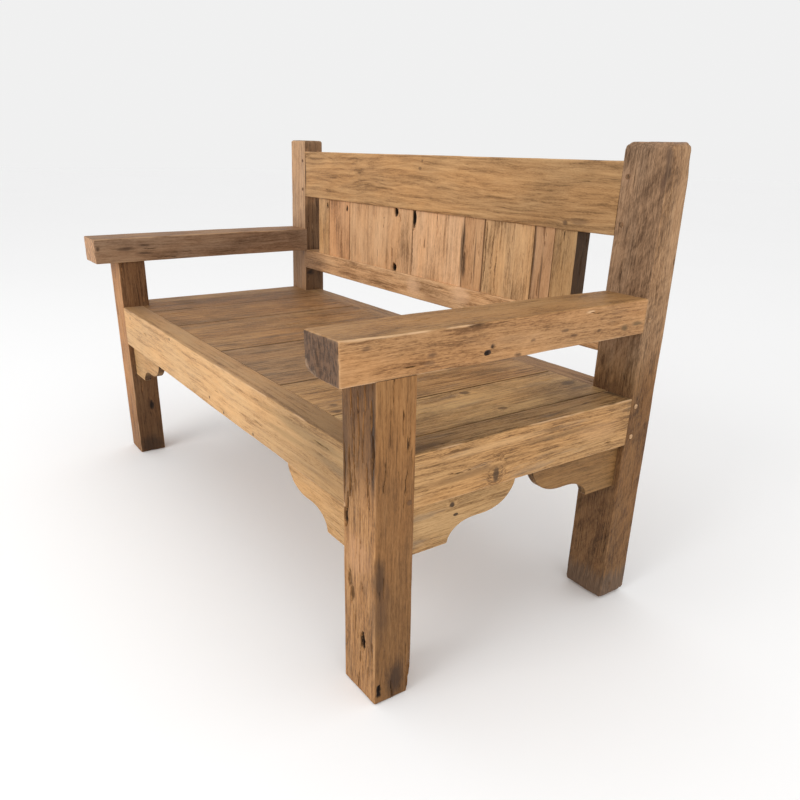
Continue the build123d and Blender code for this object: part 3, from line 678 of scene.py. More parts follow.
PLUG = dict(
    seed=92, grain=Y, pale=(208, 172, 132), mid=(180, 142, 104), deep=(132, 98, 70), pith=(0, 0),
    marks=(*spots("stain", X, 711, ((-238, 370, 40, 40, (112, 78, 50), 1.0),)),))
BEARER = dict(seed=91, grain=X, pale=(206, 168, 122), mid=(180, 142, 98), deep=(126, 96, 64), pith=(0, 0.2))


# Dents and splits that the photograph shows, in millimetres, for dents_on and splits_on

LEG_FRONT_DENTS = (
    (674, 112, 19, 8, 15, 1.0), (632, 214, 22, 7, 4, 0.45), (640, 190, 18, 7, 5, 0.5),
    (622, 324, 17, 8, 10, 0.8))
LEG_SIDE_DENTS = ((-291, 31, 7, 6, 4, 1.0), (-291, 20, 6, 6, 4, 1.0), (-227, 30, 40, 9, 4, 0.1))
LEG_SPLITS = (
    (636, 366, 455, 4.2, 9), (698, 500, 545, 3.4, 7), (703, 425, 490, 4.0, 8), (662, 455, 550, 2.6, 6),
    (618, 370, 470, 3.2, 7), (627, 325, 375, 3.4, 8), (650, 400, 480, 2.2, 5), (676, 440, 520, 2.2, 5),
    (688, 380, 440, 2.2, 5), (640, 500, 570, 2.0, 5), (684, 520, 572, 2.0, 5))
FAR_LEG_DENTS = ((-252, 148, 16, 5, 3, 0.5),)
ARM_SIDE_DENTS = (
    (-92, 591, 7, 4.5, 2.5, 0.8), (-82, 600, 4, 3, 2, 0.6), (-115, 640, 20, 3, 3, 0.4),
    (201, 606, 26, 6, 2.2, 0.3))
ARM_TOP_DENTS = ((707, -115, 20, 4, 2, 0.25),)
ARM_END_DENTS = ((668, 604, 30, 30, 1.5, 0.1),)


# Mesh work

SKIN = 1.2 * MM     # points nearer than this to a face are marked with it


def lattice(points, seed):
    """Smooth noise from 0 to 1 at points that are given in cells."""
    cell = np.floor(points).astype(np.int64)
    part = points - cell
    part = part * part * (3 - 2 * part)
    total = np.zeros(len(points))
    for corner in itertools.product((0, 1), repeat=3):
        # Large odd numbers scatter the cell's place and the seed
        x, y, z = (cell + corner).T
        mixed = x * 73856093 ^ y * 19349663 ^ z * 83492791 ^ (seed + 7) * 2654435761
        mixed = ((mixed ^ (mixed >> 13)) * 1274126177) & 0xFFFFFFFF
        mixed ^= mixed >> 16
        weight = np.prod(np.where(corner, part, 1 - part), axis=1)
        total += (mixed & 0xFFFF) / 65535 * weight
    return total


def soft(value, low, high):
    """0 below low and 1 above high, smooth between them."""
    share = np.clip((value - low) / (high - low), 0, 1)
    return share * share * (3 - 2 * share)


def spacing(span, step, arris):
    """Places along an axis from 0 to span, close together at both ends, where the arrises are rounded."""
    near = [share * arris for share in (0.0, 0.15, 0.38, 0.68, 1.05, 1.6)]
    middle = span - 2 * near[-1]
    count = max(1, round(middle / step))
    inside = [near[-1] + middle * index / count for index in range(1, count)]
    return np.array(near + inside + [span - value for value in reversed(near)])


def read_points(obj):
    points = np.empty(len(obj.data.vertices) * 3)
    obj.data.vertices.foreach_get("co", points)
    return points.reshape(-1, 3)


def write_points(obj, points):
    obj.data.vertices.foreach_set("co", points.ravel())
    obj.data.update()


def store(obj, name, values):
    layer = obj.data.attributes.new(name, "FLOAT", "POINT")
    layer.data.foreach_set("value", values.astype(np.float32))


def pick(obj):
    """Makes one object the selected and active one."""
    bpy.ops.object.select_all(action="DESELECT")
    obj.select_set(True)
    bpy.context.view_layer.objects.active = obj


def add_box(centre, size):
    """A box with its place and size applied to its mesh."""
    bpy.ops.object.select_all(action="DESELECT")
    bpy.ops.mesh.primitive_cube_add(size=1, location=tuple(centre), scale=tuple(size))
    bpy.ops.object.transform_apply(location=True, rotation=True, scale=True)
    return bpy.context.active_object


def blank(name, low, high, grain, arris, across, along=None, end=3 * MM):
    """A squared timber at its size and place, cut into a grid with the spacings across and along the grain, which
    is finer within arris of its long edges and within end of its ends."""
    low, high = np.array(low, float), np.array(high, float)
    grids = [spacing(high[axis] - low[axis], across, arris) for axis in range(3)]
    grids[grain] = spacing(high[grain] - low[grain], along or sizes().mesh_along, end)
    obj = add_box((low + high) / 2, high - low)
    obj.name = obj.data.name = name
    bpy.ops.object.mode_set(mode="EDIT")
    bpy.ops.mesh.select_mode(type="EDGE")
    for axis in sorted(range(3), key=lambda axis: len(grids[axis])):
        bpy.ops.mesh.select_all(action="DESELECT")
        mesh = bmesh.from_edit_mesh(obj.data)
        for line in mesh.edges:
            way = line.verts[0].co - line.verts[1].co
            if abs(way[axis]) > 0.99 * way.length:
                line.select = True
        bmesh.update_edit_mesh(obj.data)
        bpy.ops.mesh.subdivide(number_cuts=len(grids[axis]) - 2)
    bpy.ops.object.mode_set(mode="OBJECT")
    points = read_points(obj)
    for axis in range(3):
        share = (points[:, axis] - low[axis]) / (high[axis] - low[axis])
        index = np.rint(share * (len(grids[axis]) - 1)).astype(int)
        points[:, axis] = low[axis] + grids[axis][np.clip(index, 0, len(grids[axis]) - 1)]
    write_points(obj, points)
    return obj


def refine(obj, centre, reach, cuts=2):
    """Divides the faces round a small hole."""
    pick(obj)
    bpy.ops.object.mode_set(mode="EDIT")
    bpy.ops.mesh.select_mode(type="FACE")
    bpy.ops.mesh.select_all(action="DESELECT")
    mesh = bmesh.from_edit_mesh(obj.data)
    centre, reach = Vector(centre), Vector(reach)
    for face in mesh.faces:
        away = face.calc_center_median() - centre
        if all(abs(away[axis]) < reach[axis] for axis in range(3)):
            face.select = True
    bmesh.update_edit_mesh(obj.data)
    bpy.ops.mesh.subdivide(number_cuts=cuts)
    bpy.ops.object.mode_set(mode="OBJECT")


def round_pair(points, low, high, first, second, radius):
    """Rounds the four edges where the faces across two axes meet. radius has a value for each point."""
    middle = (low + high) / 2
    away = np.zeros((len(points), 2))
    core = np.zeros((len(points), 2))
    for column, axis in enumerate((first, second)):
        limit = np.maximum((high[axis] - low[axis]) / 2 - radius, 0)
        offset = points[:, axis] - middle[axis]
        core[:, column] = middle[axis] + np.clip(offset, -limit, limit)
        away[:, column] = points[:, axis] - core[:, column]
    longest = np.abs(away).max(1)
    norm = np.linalg.norm(away, axis=1)
    ratio = np.where(norm > 1e-9, longest / np.maximum(norm, 1e-9), 1)
    for column, axis in enumerate((first, second)):
        points[:, axis] = core[:, column] + away[:, column] * ratio


def sculpt(obj, low, high, grain, seed, arris, free=(), wander=1.0, hewing=1.0, cracks=0.0, chips=1.0,
           dents=(), splits=(), knocked=None, end_round=3 * MM, crisp=(), grime=0.0):
    """Ages a timber, always inwards. free has the ends that show, 0 for the low one and 1 for the high one; crisp
    the sides of long arrises that stay sharp; knocked a point and the way out of a plane that a corner broke off
    along. wander, hewing, cracks, chips and grime say how much there is of each."""
    low, high = np.array(low, float), np.array(high, float)
    points = read_points(obj)
    start = points.copy()
    one, two = (grain + 1) % 3, (grain + 2) % 3
    along = points[:, grain]
    middle = (low + high) / 2
    corner = np.sign(points[:, one] - middle[one]) + 3 * np.sign(points[:, two] - middle[two])
    lines = np.stack([along, corner * 11.3, np.full(len(points), seed * 5.7)], axis=1)
    swell = lattice(lines * (9, 1, 1), seed)
    chip = soft(lattice(lines * (34, 1, 1), seed + 1), 0.72, 0.98)
    chip *= soft(lattice(lines * (6, 1, 1), seed + 2), 0.35, 0.8)
    radius = arris * (0.55 + 0.9 * swell) + chips * chip * 5 * MM
    for sign_one, sign_two in crisp:
        radius = np.where(corner == sign_one + 3 * sign_two, 0.2 * radius, radius)
    depth = {}
    for axis in (one, two):
        depth[axis, 1] = high[axis] - points[:, axis]
        depth[axis, -1] = points[:, axis] - low[axis]
    nearest = np.sort(np.stack(list(depth.values())), axis=0)
    wear = np.exp(-((nearest[0] + nearest[1]) / (0.35 * arris + 0.8 * MM)) ** 2)
    round_pair(points, low, high, one, two, radius)
    for side in free:
        from_end = np.abs((high if side else low)[grain] - start[:, grain])
        far_low, far_high = low.copy(), high.copy()
        (far_low if side else far_high)[grain] += -10 if side else 10
        knock = end_round * (0.75 + 0.5 * lattice(start * 30, seed + 3))
        for axis in (one, two):
            round_pair(points, far_low, far_high, grain, axis, knock)
        wear = np.maximum(wear, 0.25 * np.exp(-((from_end + nearest[0]) / (0.6 * end_round + 1 * MM)) ** 2))

    # Uneven faces
    sunk = np.zeros(len(points))
    shift = np.zeros_like(points)
    for axis in (one, two):
        other = two if axis == one else one
        for sign in (1, -1):
            face = np.full(len(points), axis * 7.1 + sign * 3.3)
            plane = np.stack([start[:, grain], start[:, other], face], axis=1)
            sway = lattice(plane * (3.1, 5, 1), seed + 4)
            hew = lattice(plane * (16, 34, 1), seed + 5)
            rough = lattice(plane * (30, 330, 1), seed + 6)
            inward = wander * sizes().wander * sway + hewing * sizes().hewing * hew + sizes().relief * rough
            fade = np.exp(-depth[axis, sign] / (9 * MM))
            shift[:, axis] -= sign * inward * fade

    # Cracks and dents
    for axis, sign, across, begin, end, width, deep in (*splits, *chance_splits(low, high, grain, seed, cracks)):
        other = two if axis == one else one
        near = (depth[axis, sign] < SKIN) & (np.abs(start[:, other] - across) < 9 * MM)
        near &= (start[:, grain] > begin) & (start[:, grain] < end)
        run = start[near, grain]
        line = np.stack([run * 30, np.full(len(run), across * 999), np.zeros(len(run))], 1)
        bend = (lattice(line, seed + 10) - 0.5) * 6 * MM + (lattice(line * 4, seed + 9) - 0.5) * 2 * MM
        taper = np.clip(np.minimum(run - begin, end - run) / (0.35 * (end - begin)), 0, 1)
        wide = width * np.sqrt(taper) * (0.6 + 0.6 * lattice(line * 3, seed + 8)) + 1e-9
        gap = soft(1 - np.abs(start[near, other] - across - bend) / wide, 0.0, 0.8)
        shift[near, axis] -= sign * gap * deep
        sunk[near] = np.maximum(sunk[near], gap * min(1, 0.25 + deep / (6 * MM)))
    for axis, sign, centre, radii, deep, dark in dents:
        away = np.zeros(len(points))
        for other in (grain, one, two):
            if other != axis:
                away += ((start[:, other] - centre[other]) / (radii[0] if other == grain else radii[1])) ** 2
        ragged = 0.35 * (lattice(start * 260, seed + 11) - 0.5)
        below = np.abs(start[:, axis] - (high[axis] if sign > 0 else low[axis]))
        pit = soft(1 - np.sqrt(away) + ragged, 0.0, 0.45) * (below < SKIN)
        shift[:, axis] -= sign * pit * deep
        sunk = np.maximum(sunk, np.minimum(2.4 * pit, 1) * dark)

    # Ends, and a corner that is broken off
    for side in free:
        from_end = np.abs((high if side else low)[grain] - start[:, grain])
        inward = lattice(start * 120, seed + 12) * 0.8 * MM + lattice(start * 30, seed + 13) * 1.0 * MM
        shift[:, grain] += (-1 if side else 1) * inward * np.exp(-from_end / (6 * MM))
    points += shift
    if knocked is not None:
        plane_point, normal = (np.array(value, float) for value in knocked)
        normal /= np.linalg.norm(normal)
        rough = 3 * MM * (lattice(start * 70, seed + 14) - 0.5) + 1.6 * MM * (lattice(start * 200, seed + 15) - 0.5)
        beyond = (points - plane_point) @ normal + rough + 0.4 * MM
        cut = np.maximum(beyond, 0)
        points -= np.outer(cut, normal)
        wear = np.maximum(wear, 0.3 * np.exp(-(np.abs(beyond) / (2 * MM)) ** 2))
    write_points(obj, points)
    sunk = np.maximum(sunk, grime * np.exp(-((nearest[0] + nearest[1]) / (2.2 * MM)) ** 2))
    store(obj, "wear", wear * (1 - np.clip(sunk * 2, 0, 1)))
    store(obj, "sunk", sunk)


def chance_splits(low, high, grain, seed, cracks):
    """Drying cracks at seeded places on the four long faces, more of them as cracks rises to 1."""
    chance = np.random.RandomState(seed)
    one, two = (grain + 1) % 3, (grain + 2) % 3
    span = high[grain] - low[grain]
    for axis, other in ((one, two), (two, one)):
        width = high[other] - low[other]
        for sign in (1, -1):
            for _ in range(int(round(cracks * 90 * span * width / 0.06))):
                reach = chance.uniform(20, 75) * MM
                begin = low[grain] + chance.uniform(-0.02, 1) * span
                across = low[other] + chance.uniform(0.06, 0.94) * width
                deep = chance.uniform(0.3, 1.0) * sizes().crack_depth
                yield axis, sign, across, begin, begin + reach, chance.uniform(1.1, 1.7) * MM, deep


def lean_back(obj):
    """Turns an upright piece of the back about the posts' feet, as the posts lean."""
    foot = Vector((0, edge("back_post_right", Y, False), 0))
    turn = Matrix.Rotation(-rake_angle(), 4, "X")
    obj.data.transform(Matrix.Translation(foot) @ turn @ Matrix.Translation(-foot))


def rake_angle():
    return math.atan2(sizes().post_rake, edge("back_post_right", Z, True))


def post_face(height, rear):
    """Front or rear face of the posts at a height."""
    share = height / edge("back_post_right", Z, True)
    foot = edge("back_post_right", Y, False)
    if rear:
        depth = sizes().post_foot_depth
        return foot + depth + (sizes().post_rake + sizes().post_top_depth - depth) * share
    return foot + sizes().post_rake * share


def meet_posts(points, share, low):
    """Slants the rear end of a piece that butts against the fronts of the posts. share rises to 1 at that end."""
    points[:, Y] += share * (post_face(points[:, Z], False) - post_face(low[Z], False))


# Pieces

def side_name(right):
    return "right" if right else "left"


def leg_inner(right):
    """The face of a front leg that looks at the other one."""
    return edge("front_leg_right", X, False) if right else edge("front_leg_left", X, True)


def post_inner(right):
    """The face of a back post that looks at the other one."""
    return edge("back_post_right", X, False) if right else edge("back_post_left", X, True)


def finish_piece(obj, node, look):
    """Smooth shading up to sharp arrises, the finish, and the piece's place in the part."""
    pick(obj)
    bpy.ops.object.shade_smooth_by_angle(angle=SHARP)
    obj.data.materials.clear()
    obj.data.materials.append(timber("finish_" + obj.name, **look))
    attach(obj, ROOT)
    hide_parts(node)


def dents_on(axis, sign, rows):
    """Dents in the face of an axis. Each row has, in millimetres, the places along the two other axes, the reach
    along and across the grain and the depth, and then how dark the dent is."""
    for *numbers, dark in rows:
        first, second, along, across, deep = mm(*numbers)
        centre = [first, second]
        centre.insert(axis, 0.0)
        yield axis, sign, centre, (along, across), deep, dark


def splits_on(axis, sign, rows):
    """Splits in the face of an axis. Each row has, in millimetres, the place across the grain, where the split
    begins and ends along it, its width and its depth."""
    for row in rows:
        yield axis, sign, *mm(*row)


class BENCH_OT_legs(bpy.types.Operator):
    """Two weathered front legs, cracked along the grain and worn at the feet"""
    bl_idname = "bench.legs"
    bl_label = "Front legs"
    bl_options = {"REGISTER", "UNDO"}

    def execute(self, context):
        for right in (False, True):
            node = "front_leg_" + side_name(right)
            low, high = box(node)
            high[Z] = edge("arm_right", Z, False) + sizes().bury
            obj = blank("leg_" + side_name(right), low, high, Z, arris=4 * MM, across=1.5 * MM)
            if right:
                refine(obj, (674 * MM, low[Y], 112 * MM), mm(14, 4, 22))
                sculpt(obj, low, high, Z, seed=11, arris=2.6 * MM, free=(0,), cracks=0.3, chips=1.3, wander=0.4,
                       hewing=0.6, knocked=((high[X], high[Y], 52 * MM), mm(0, 52, -8)),
                       dents=(*dents_on(Y, -1, LEG_FRONT_DENTS), *dents_on(X, 1, LEG_SIDE_DENTS)),
                       splits=splits_on(Y, -1, LEG_SPLITS))
            else:
                sculpt(obj, low, high, Z, seed=12, arris=2.6 * MM, free=(0,), cracks=0.2, wander=0.8,
                       dents=dents_on(X, 1, FAR_LEG_DENTS))
            finish_piece(obj, node, LEG_RIGHT if right else LEG_LEFT)
        return {"FINISHED"}


class BENCH_OT_posts(bpy.types.Operator):
    """Two back posts that lean back and grow thinner towards their rounded tops"""
    bl_idname = "bench.posts"
    bl_label = "Back posts"
    bl_options = {"REGISTER", "UNDO"}

    def execute(self, context):
        for right in (False, True):
            node = "back_post_" + side_name(right)
            low, high = box(node)
            high[Y] = low[Y] + sizes().post_foot_depth
            obj = blank("post_" + side_name(right), low, high, Z, arris=5 * MM, across=1.7 * MM, end=9 * MM)
            if right:
                sculpt(obj, low, high, Z, seed=21, arris=3 * MM, free=(0, 1), cracks=0.08, wander=0.9,
                       end_round=13 * MM, dents=dents_on(X, 1, ((low[Y] / MM + 26, 30, 9, 5, 3, 0.3),)))
            else:
                sculpt(obj, low, high, Z, seed=22, arris=2.6 * MM, free=(0, 1), cracks=0.08, wander=0.8,
                       end_round=8 * MM)
            points = read_points(obj)
            share = (points[:, Y] - low[Y]) / (high[Y] - low[Y])
            height = points[:, Z]
            front, rear = post_face(height, False), post_face(height, True)
            if right:
                middle, reach, deep = POST_HOLLOW
                rear -= deep * soft(1 - np.abs(height - middle) / reach, 0, 1)
            points[:, Y] = front + share * (rear - front)
            write_points(obj, points)
            finish_piece(obj, node, POST_RIGHT if right else POST_LEFT)
        return {"FINISHED"}


class BENCH_OT_arms(bpy.types.Operator):
    """Two thick arms with worn arrises; one has a broken corner at its front end"""
    bl_idname = "bench.arms"
    bl_label = "Arms"
    bl_options = {"REGISTER", "UNDO"}

    def execute(self, context):
        for right in (False, True):
            node = "arm_" + side_name(right)
            low, high = box(node)
            high[Y] = post_face(low[Z], False) + sizes().bury
            obj = blank("arm_" + side_name(right), low, high, Y, arris=5 * MM, across=1.6 * MM, along=4.5 * MM)
            if right:
                refine(obj, (high[X], -92 * MM, 591 * MM), mm(6, 14, 10), cuts=1)
                sculpt(obj, low, high, Y, seed=31, arris=3.5 * MM, free=(0,), cracks=0.05, wander=0.8, hewing=1.2,
                       chips=0.9, end_round=4 * MM, knocked=self.broken_corner(low),
                       dents=(*dents_on(X, 1, ARM_SIDE_DENTS), *dents_on(Z, 1, ARM_TOP_DENTS),
                              *dents_on(Y, -1, ARM_END_DENTS)))
            else:
                sculpt(obj, low, high, Y, seed=32, arris=3.5 * MM, free=(0,), cracks=0.1, wander=0.5,
                       end_round=3 * MM)
            points = read_points(obj)
            share = np.clip((points[:, Y] - low[Y]) / (post_face(low[Z], False) - low[Y]), 0, 1)
            raised = np.clip((points[:, Z] - low[Z]) / (high[Z] - low[Z]), 0, 1)
            outward = np.clip((points[:, X] - low[X]) / (high[X] - low[X]), 0, 1)
            if right:
                inner, outer = np.interp(share, *ARM_INNER_SAG), np.interp(share, *ARM_OUTER_SAG)
                points[:, Z] -= raised * (inner * (1 - outward) + outer * outward)
            else:
                points[:, Z] -= raised * np.interp(share, *FAR_ARM_SAG)
                points[:, Z] += (1 - raised) * np.interp(share, *FAR_ARM_RISE)
            meet_posts(points, share, low)
            write_points(obj, points)
            finish_piece(obj, node, ARM_RIGHT if right else ARM_LEFT)
        return {"FINISHED"}

    @staticmethod
    def broken_corner(low):
        """The plane that the lower corner broke off along: a point in it and the way out of the timber."""
        corner = np.array(low)
        across, along, above = corner + np.diag(ARM_BREAK)
        normal = np.cross(along - across, above - across)
        return across, normal if normal @ (corner - across) >= 0 else -normal


class BENCH_OT_seat_rails(bpy.types.Operator):
    """Front, back and side rails round the seat"""
    bl_idname = "bench.seat_rails"
    bl_label = "Seat rails"
    bl_options = {"REGISTER", "UNDO"}

    def execute(self, context):
        bury = sizes().bury
        low, high = box("front_rail")
        low[X], high[X] = leg_inner(False) - bury, leg_inner(True) + bury
        obj = blank("front_rail_beam", low, high, X, arris=6 * MM, across=1.9 * MM)
        sculpt(obj, low, high, X, seed=41, arris=4 * MM, cracks=0.04, wander=0.9, chips=1.2, crisp=((1, 1),))
        finish_piece(obj, "front_rail", FRONT_RAIL)
        low, high = box("back_rail")
        low[X], high[X] = post_inner(False) - bury, post_inner(True) + bury
        obj = blank("back_rail_beam", low, high, X, arris=4 * MM, across=2.4 * MM, along=7 * MM)
        sculpt(obj, low, high, X, seed=42, arris=4.5 * MM, cracks=0.1, wander=1.2, crisp=((-1, 1),))
        finish_piece(obj, "back_rail", BACK_RAIL)
        for right in (False, True):
            node = "side_rail_" + side_name(right)
            low, high = box(node)
            low[Y] = edge("front_leg_right", Y, True) - bury
            high[Y] = post_face(low[Z], False) + bury
            obj = blank(node + "_beam", low, high, Y, arris=5 * MM, across=1.9 * MM)
            inner = -1 if right else 1
            sculpt(obj, low, high, Y, seed=43 + right, arris=3.5 * MM, cracks=0.04, wander=0.8,
                   crisp=((1, inner),))
            points = read_points(obj)
            meet_posts(points, (points[:, Y] - low[Y]) / (high[Y] - low[Y]), low)
            write_points(obj, points)
            finish_piece(obj, node, SIDE_RAIL_RIGHT if right else SIDE_RAIL_LEFT)
        return {"FINISHED"}


class BENCH_OT_seat_boards(bpy.types.Operator):
    """Six seat boards from front to back, notched round the legs"""
    bl_idname = "bench.seat_boards"
    bl_label = "Seat boards"
    bl_options = {"REGISTER", "UNDO"}

    def execute(self, context):
        for number in range(1, 7):
            node = "seat_board_%d" % number
            low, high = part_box(node)
            low.y, high.y = edge("front_rail", Y, True) - sizes().bury, edge("back_rail", Y, False) + sizes().bury
            low.x -= SEAT_JOINT_CLOSING if number > 1 else 0
            high.x += SEAT_JOINT_CLOSING if number < 6 else 0
            obj = blank("seat_plank_%d" % number, low, high, Y, arris=2 * MM, across=2.6 * MM, along=6 * MM)
            sculpt(obj, low, high, Y, seed=50 + number, arris=1.8 * MM, cracks=0.03, wander=0.4, hewing=0.7,
                   chips=0.6, grime=0.6)
            if number in (1, 6):
                self.notch_corner(obj, node, right=number == 6)
            look = {**SEAT_BOARD, "seed": 50 + number, "pith": SEAT_PITHS[number - 1]}
            finish_piece(obj, node, {**look, **SEAT_CHANGES.get(number, {})})
        return {"FINISHED"}

    @staticmethod
    def notch_corner(obj, node, right):
        """Cuts a seat board round the corner of a leg."""
        low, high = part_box(node)
        far = high.x + NOTCH_SPARE if right else low.x - NOTCH_SPARE
        inner = leg_inner(right) - NOTCH_GAP if right else leg_inner(right) + NOTCH_GAP
        near, rear = low.y - NOTCH_SPARE, edge("front_leg_right", Y, True) + NOTCH_GAP
        cutter = add_box(((far + inner) / 2, (near + rear) / 2, (low.z + high.z) / 2),
                         (abs(far - inner), rear - near, high.z - low.z + 10 * MM))
        bpy.context.view_layer.objects.active = obj
        cut = obj.modifiers.new("notch", "BOOLEAN")
        cut.operation, cut.object, cut.solver = "DIFFERENCE", cutter, "EXACT"
        bpy.ops.object.modifier_apply(modifier=cut.name)
        bpy.data.objects.remove(cutter)


class BENCH_OT_back_rails(bpy.types.Operator):
    """Deep top rail and lower bottom rail of the back"""
    bl_idname = "bench.back_rails"
    bl_label = "Back rails"
    bl_options = {"REGISTER", "UNDO"}

    def execute(self, context):
        front = edge("back_post_right", Y, False)
        for name, (under, height), seed, hewing, look in (
            ("top_rail", TOP_RAIL_SPAN, 61, 1.6, TOP_RAIL),
            ("bottom_rail", BOTTOM_RAIL_SPAN, 62, 1.0, BOTTOM_RAIL),
        ):
            low = [post_inner(False) - sizes().bury, front, under]
            high = [post_inner(True) + sizes().bury, front + BACK_RAIL_DEPTH, under + height]
            obj = blank(name + "_beam", low, high, X, arris=4 * MM, across=2 * MM)
            sculpt(obj, low, high, X, seed=seed, arris=3 * MM, cracks=0.02, wander=1.0, hewing=hewing)
            lean_back(obj)
            finish_piece(obj, "back_" + name, look)
        return {"FINISHED"}


class BENCH_OT_back_boards(bpy.types.Operator):
    """Nine upright boards of the back, with old bolt holes, a split and cracks"""
    bl_idname = "bench.back_boards"
    bl_label = "Back boards"
    bl_options = {"REGISTER", "UNDO"}

    def execute(self, context):
        foot = edge("back_post_right", Y, False)
        front, rear = foot + BACK_BOARD_FRONT, foot + BACK_BOARD_REAR
        for number in range(1, 10):
            node = "back_board_%d" % number
            grime = BACK_GRIME[number - 1]
            tight = grime < 0.5
            close = BACK_JOINT_CLOSING if tight else 0
            low = [edge(node, X, False) - (close if number > 1 else 0), front, BACK_BOARD_LOW]
            high = [edge(node, X, True) + (close if number < 9 else 0), rear, BACK_BOARD_HIGH]
            obj = blank("back_plank_%d" % number, low, high, Z, arris=1.6 * MM, across=1.8 * MM, along=4 * MM)
            if number == 4:
                refine(obj, (-114 * MM, front, 731 * MM), mm(13, 4, 15))
                refine(obj, (-114 * MM, front, 588 * MM), mm(13, 4, 15))
            if number == 5:
                refine(obj, (low[X], front, 718 * MM), mm(13, 4, 30))
            dents, splits = self.faults(number, low[X] / MM)
            sculpt(obj, low, high, Z, seed=70 + number, arris=0.9 * MM if tight else 1.6 * MM, wander=0.8, chips=0.5,
                   cracks=BACK_CRACKS[number - 1], dents=dents_on(Y, -1, dents), splits=splits_on(Y, -1, splits),
                   grime=grime)
            lean_back(obj)
            look = {**BACK_BOARD, "seed": 70 + number, "rake": rake_angle()}
            finish_piece(obj, node, {**look, **BACK_CHANGES.get(number, {})})
        return {"FINISHED"}

    @staticmethod
    def faults(number, left):
        """Dents and splits in the front of one board, whose left edge is given, in millimetres."""
        return {
            1: (((-480, 722, 8, 6, 6, 1.0),), ()),
            2: (((-366, 722, 8, 6, 6, 1.0),), ()),
            4: (((-114, 731, 13, 11, 20, 1.0), (-114, 588, 13, 11, 20, 1.0)), ((-93, 690, 732, 1.6, 5),)),
            5: (((left + 4, 722, 30, 9, 20, 1.0),), ((left + 2.5, 585, 712, 1.8, 5),)),
            7: ((), ((left + 5, 600, 735, 3.2, 6), (left + 30, 615, 700, 1.8, 4), (left + 44, 590, 680, 1.8, 4))),
        }.get(number, ((), ()))


class BENCH_OT_brackets(bpy.types.Operator):
    """Six shaped brackets under the front and side rails"""
    bl_idname = "bench.brackets"
    bl_label = "Brackets"
    bl_options = {"REGISTER", "UNDO"}

    def execute(self, context):
        for right in (False, True):
            seed = 80 + 5 * right
            self.bracket("front_bracket_" + side_name(right), X, -1 if right else 1, leg_inner(right), seed,
                         FRONT_BRACKET)
            node = "side_bracket_%s_" % side_name(right)
            front_look = {**SIDE_BRACKET, "marks": BRACKET_MARKS} if right else SIDE_BRACKET
            self.bracket(node + "front", Y, 1, edge("front_leg_right", Y, True), seed + 1, front_look)
            self.bracket(node + "rear", Y, -1, edge(node + "rear", Y, True), seed + 2, REAR_BRACKET)
        return {"FINISHED"}

    def bracket(self, node, grain, way, start, seed, look):
        """A flat blank whose lower edge is drawn to the ogee. way is the direction away from the leg."""
        low, high = box(node)
        flat = Y if grain == X else X
        span = start - low[grain] if way < 0 else high[grain] - start
        top = edge("front_rail" if grain == X else "side_rail_right", Z, False)
        low[Z], high[Z] = top - BRACKET_DROP, top
        obj = blank(node + "_board", low, high, grain, arris=2 * MM, across=3 * MM, along=3.2 * MM)
        points = read_points(obj)
        out, depth = self.ogee((points[:, grain] - start) * way / span, span)
        raised = (points[:, Z] - low[Z]) / BRACKET_DROP
        points[:, grain] = start + way * out
        points[:, Z] = top - (1 - raised) * depth

        # The arris of the sawn edge is eased, and both faces stray inwards
        middle, half = (low[flat] + high[flat]) / 2, (high[flat] - low[flat]) / 2
        aside = points[:, flat] - middle
        from_edge = np.minimum(raised * depth, span - out)
        ease = 1.6 * MM * np.clip(1 - from_edge / (1.8 * MM), 0, 1) ** 2
        points[:, flat] = middle + aside * (1 - ease / half)
        rough = points.copy()
        for axis, often in ((grain, 20), (flat, 60), (Z, 120)):
            rough[:, axis] *= often
        inward = 0.9 * MM * lattice(rough, seed) + 0.9 * MM * lattice(points * 14, seed + 1)
        points[:, flat] -= np.sign(aside) * inward * (np.abs(aside) > 0.9 * half)
        write_points(obj, points)
        bpy.ops.object.mode_set(mode="EDIT")
        bpy.ops.mesh.select_all(action="SELECT")
        bpy.ops.mesh.remove_doubles(threshold=0.05 * MM)
        bpy.ops.mesh.normals_make_consistent(inside=False)
        bpy.ops.object.mode_set(mode="OBJECT")
        for name in ("wear", "sunk"):
            store(obj, name, np.zeros(len(obj.data.vertices)))
        finish_piece(obj, node, {**look, "grain": grain, "seed": seed})

    @staticmethod
    def ogee(share, span):
        """Distance from the leg and depth at a share of the lower edge's own length."""
        foot, cove, bulge = (part * span for part in OGEE_SHARES)
        turns = np.linspace(0, math.pi / 2, 200)
        line = np.concatenate((
            [[0, BRACKET_DROP], [foot, BRACKET_DROP]],
            np.stack([foot + cove - cove * np.cos(turns),
                      BRACKET_DROP - (BRACKET_DROP - BRACKET_WAIST) * np.sin(turns)], 1),
            np.stack([span - bulge + bulge * np.sin(turns), BRACKET_WAIST * np.cos(turns)], 1)))
        steps = np.linalg.norm(np.diff(line, axis=0), axis=1)
        travel = np.concatenate([[0], np.cumsum(steps)])
        place = np.clip(share, 0, 1) * travel[-1]
        return np.interp(place, travel, line[:, 0]), np.interp(place, travel, line[:, 1])


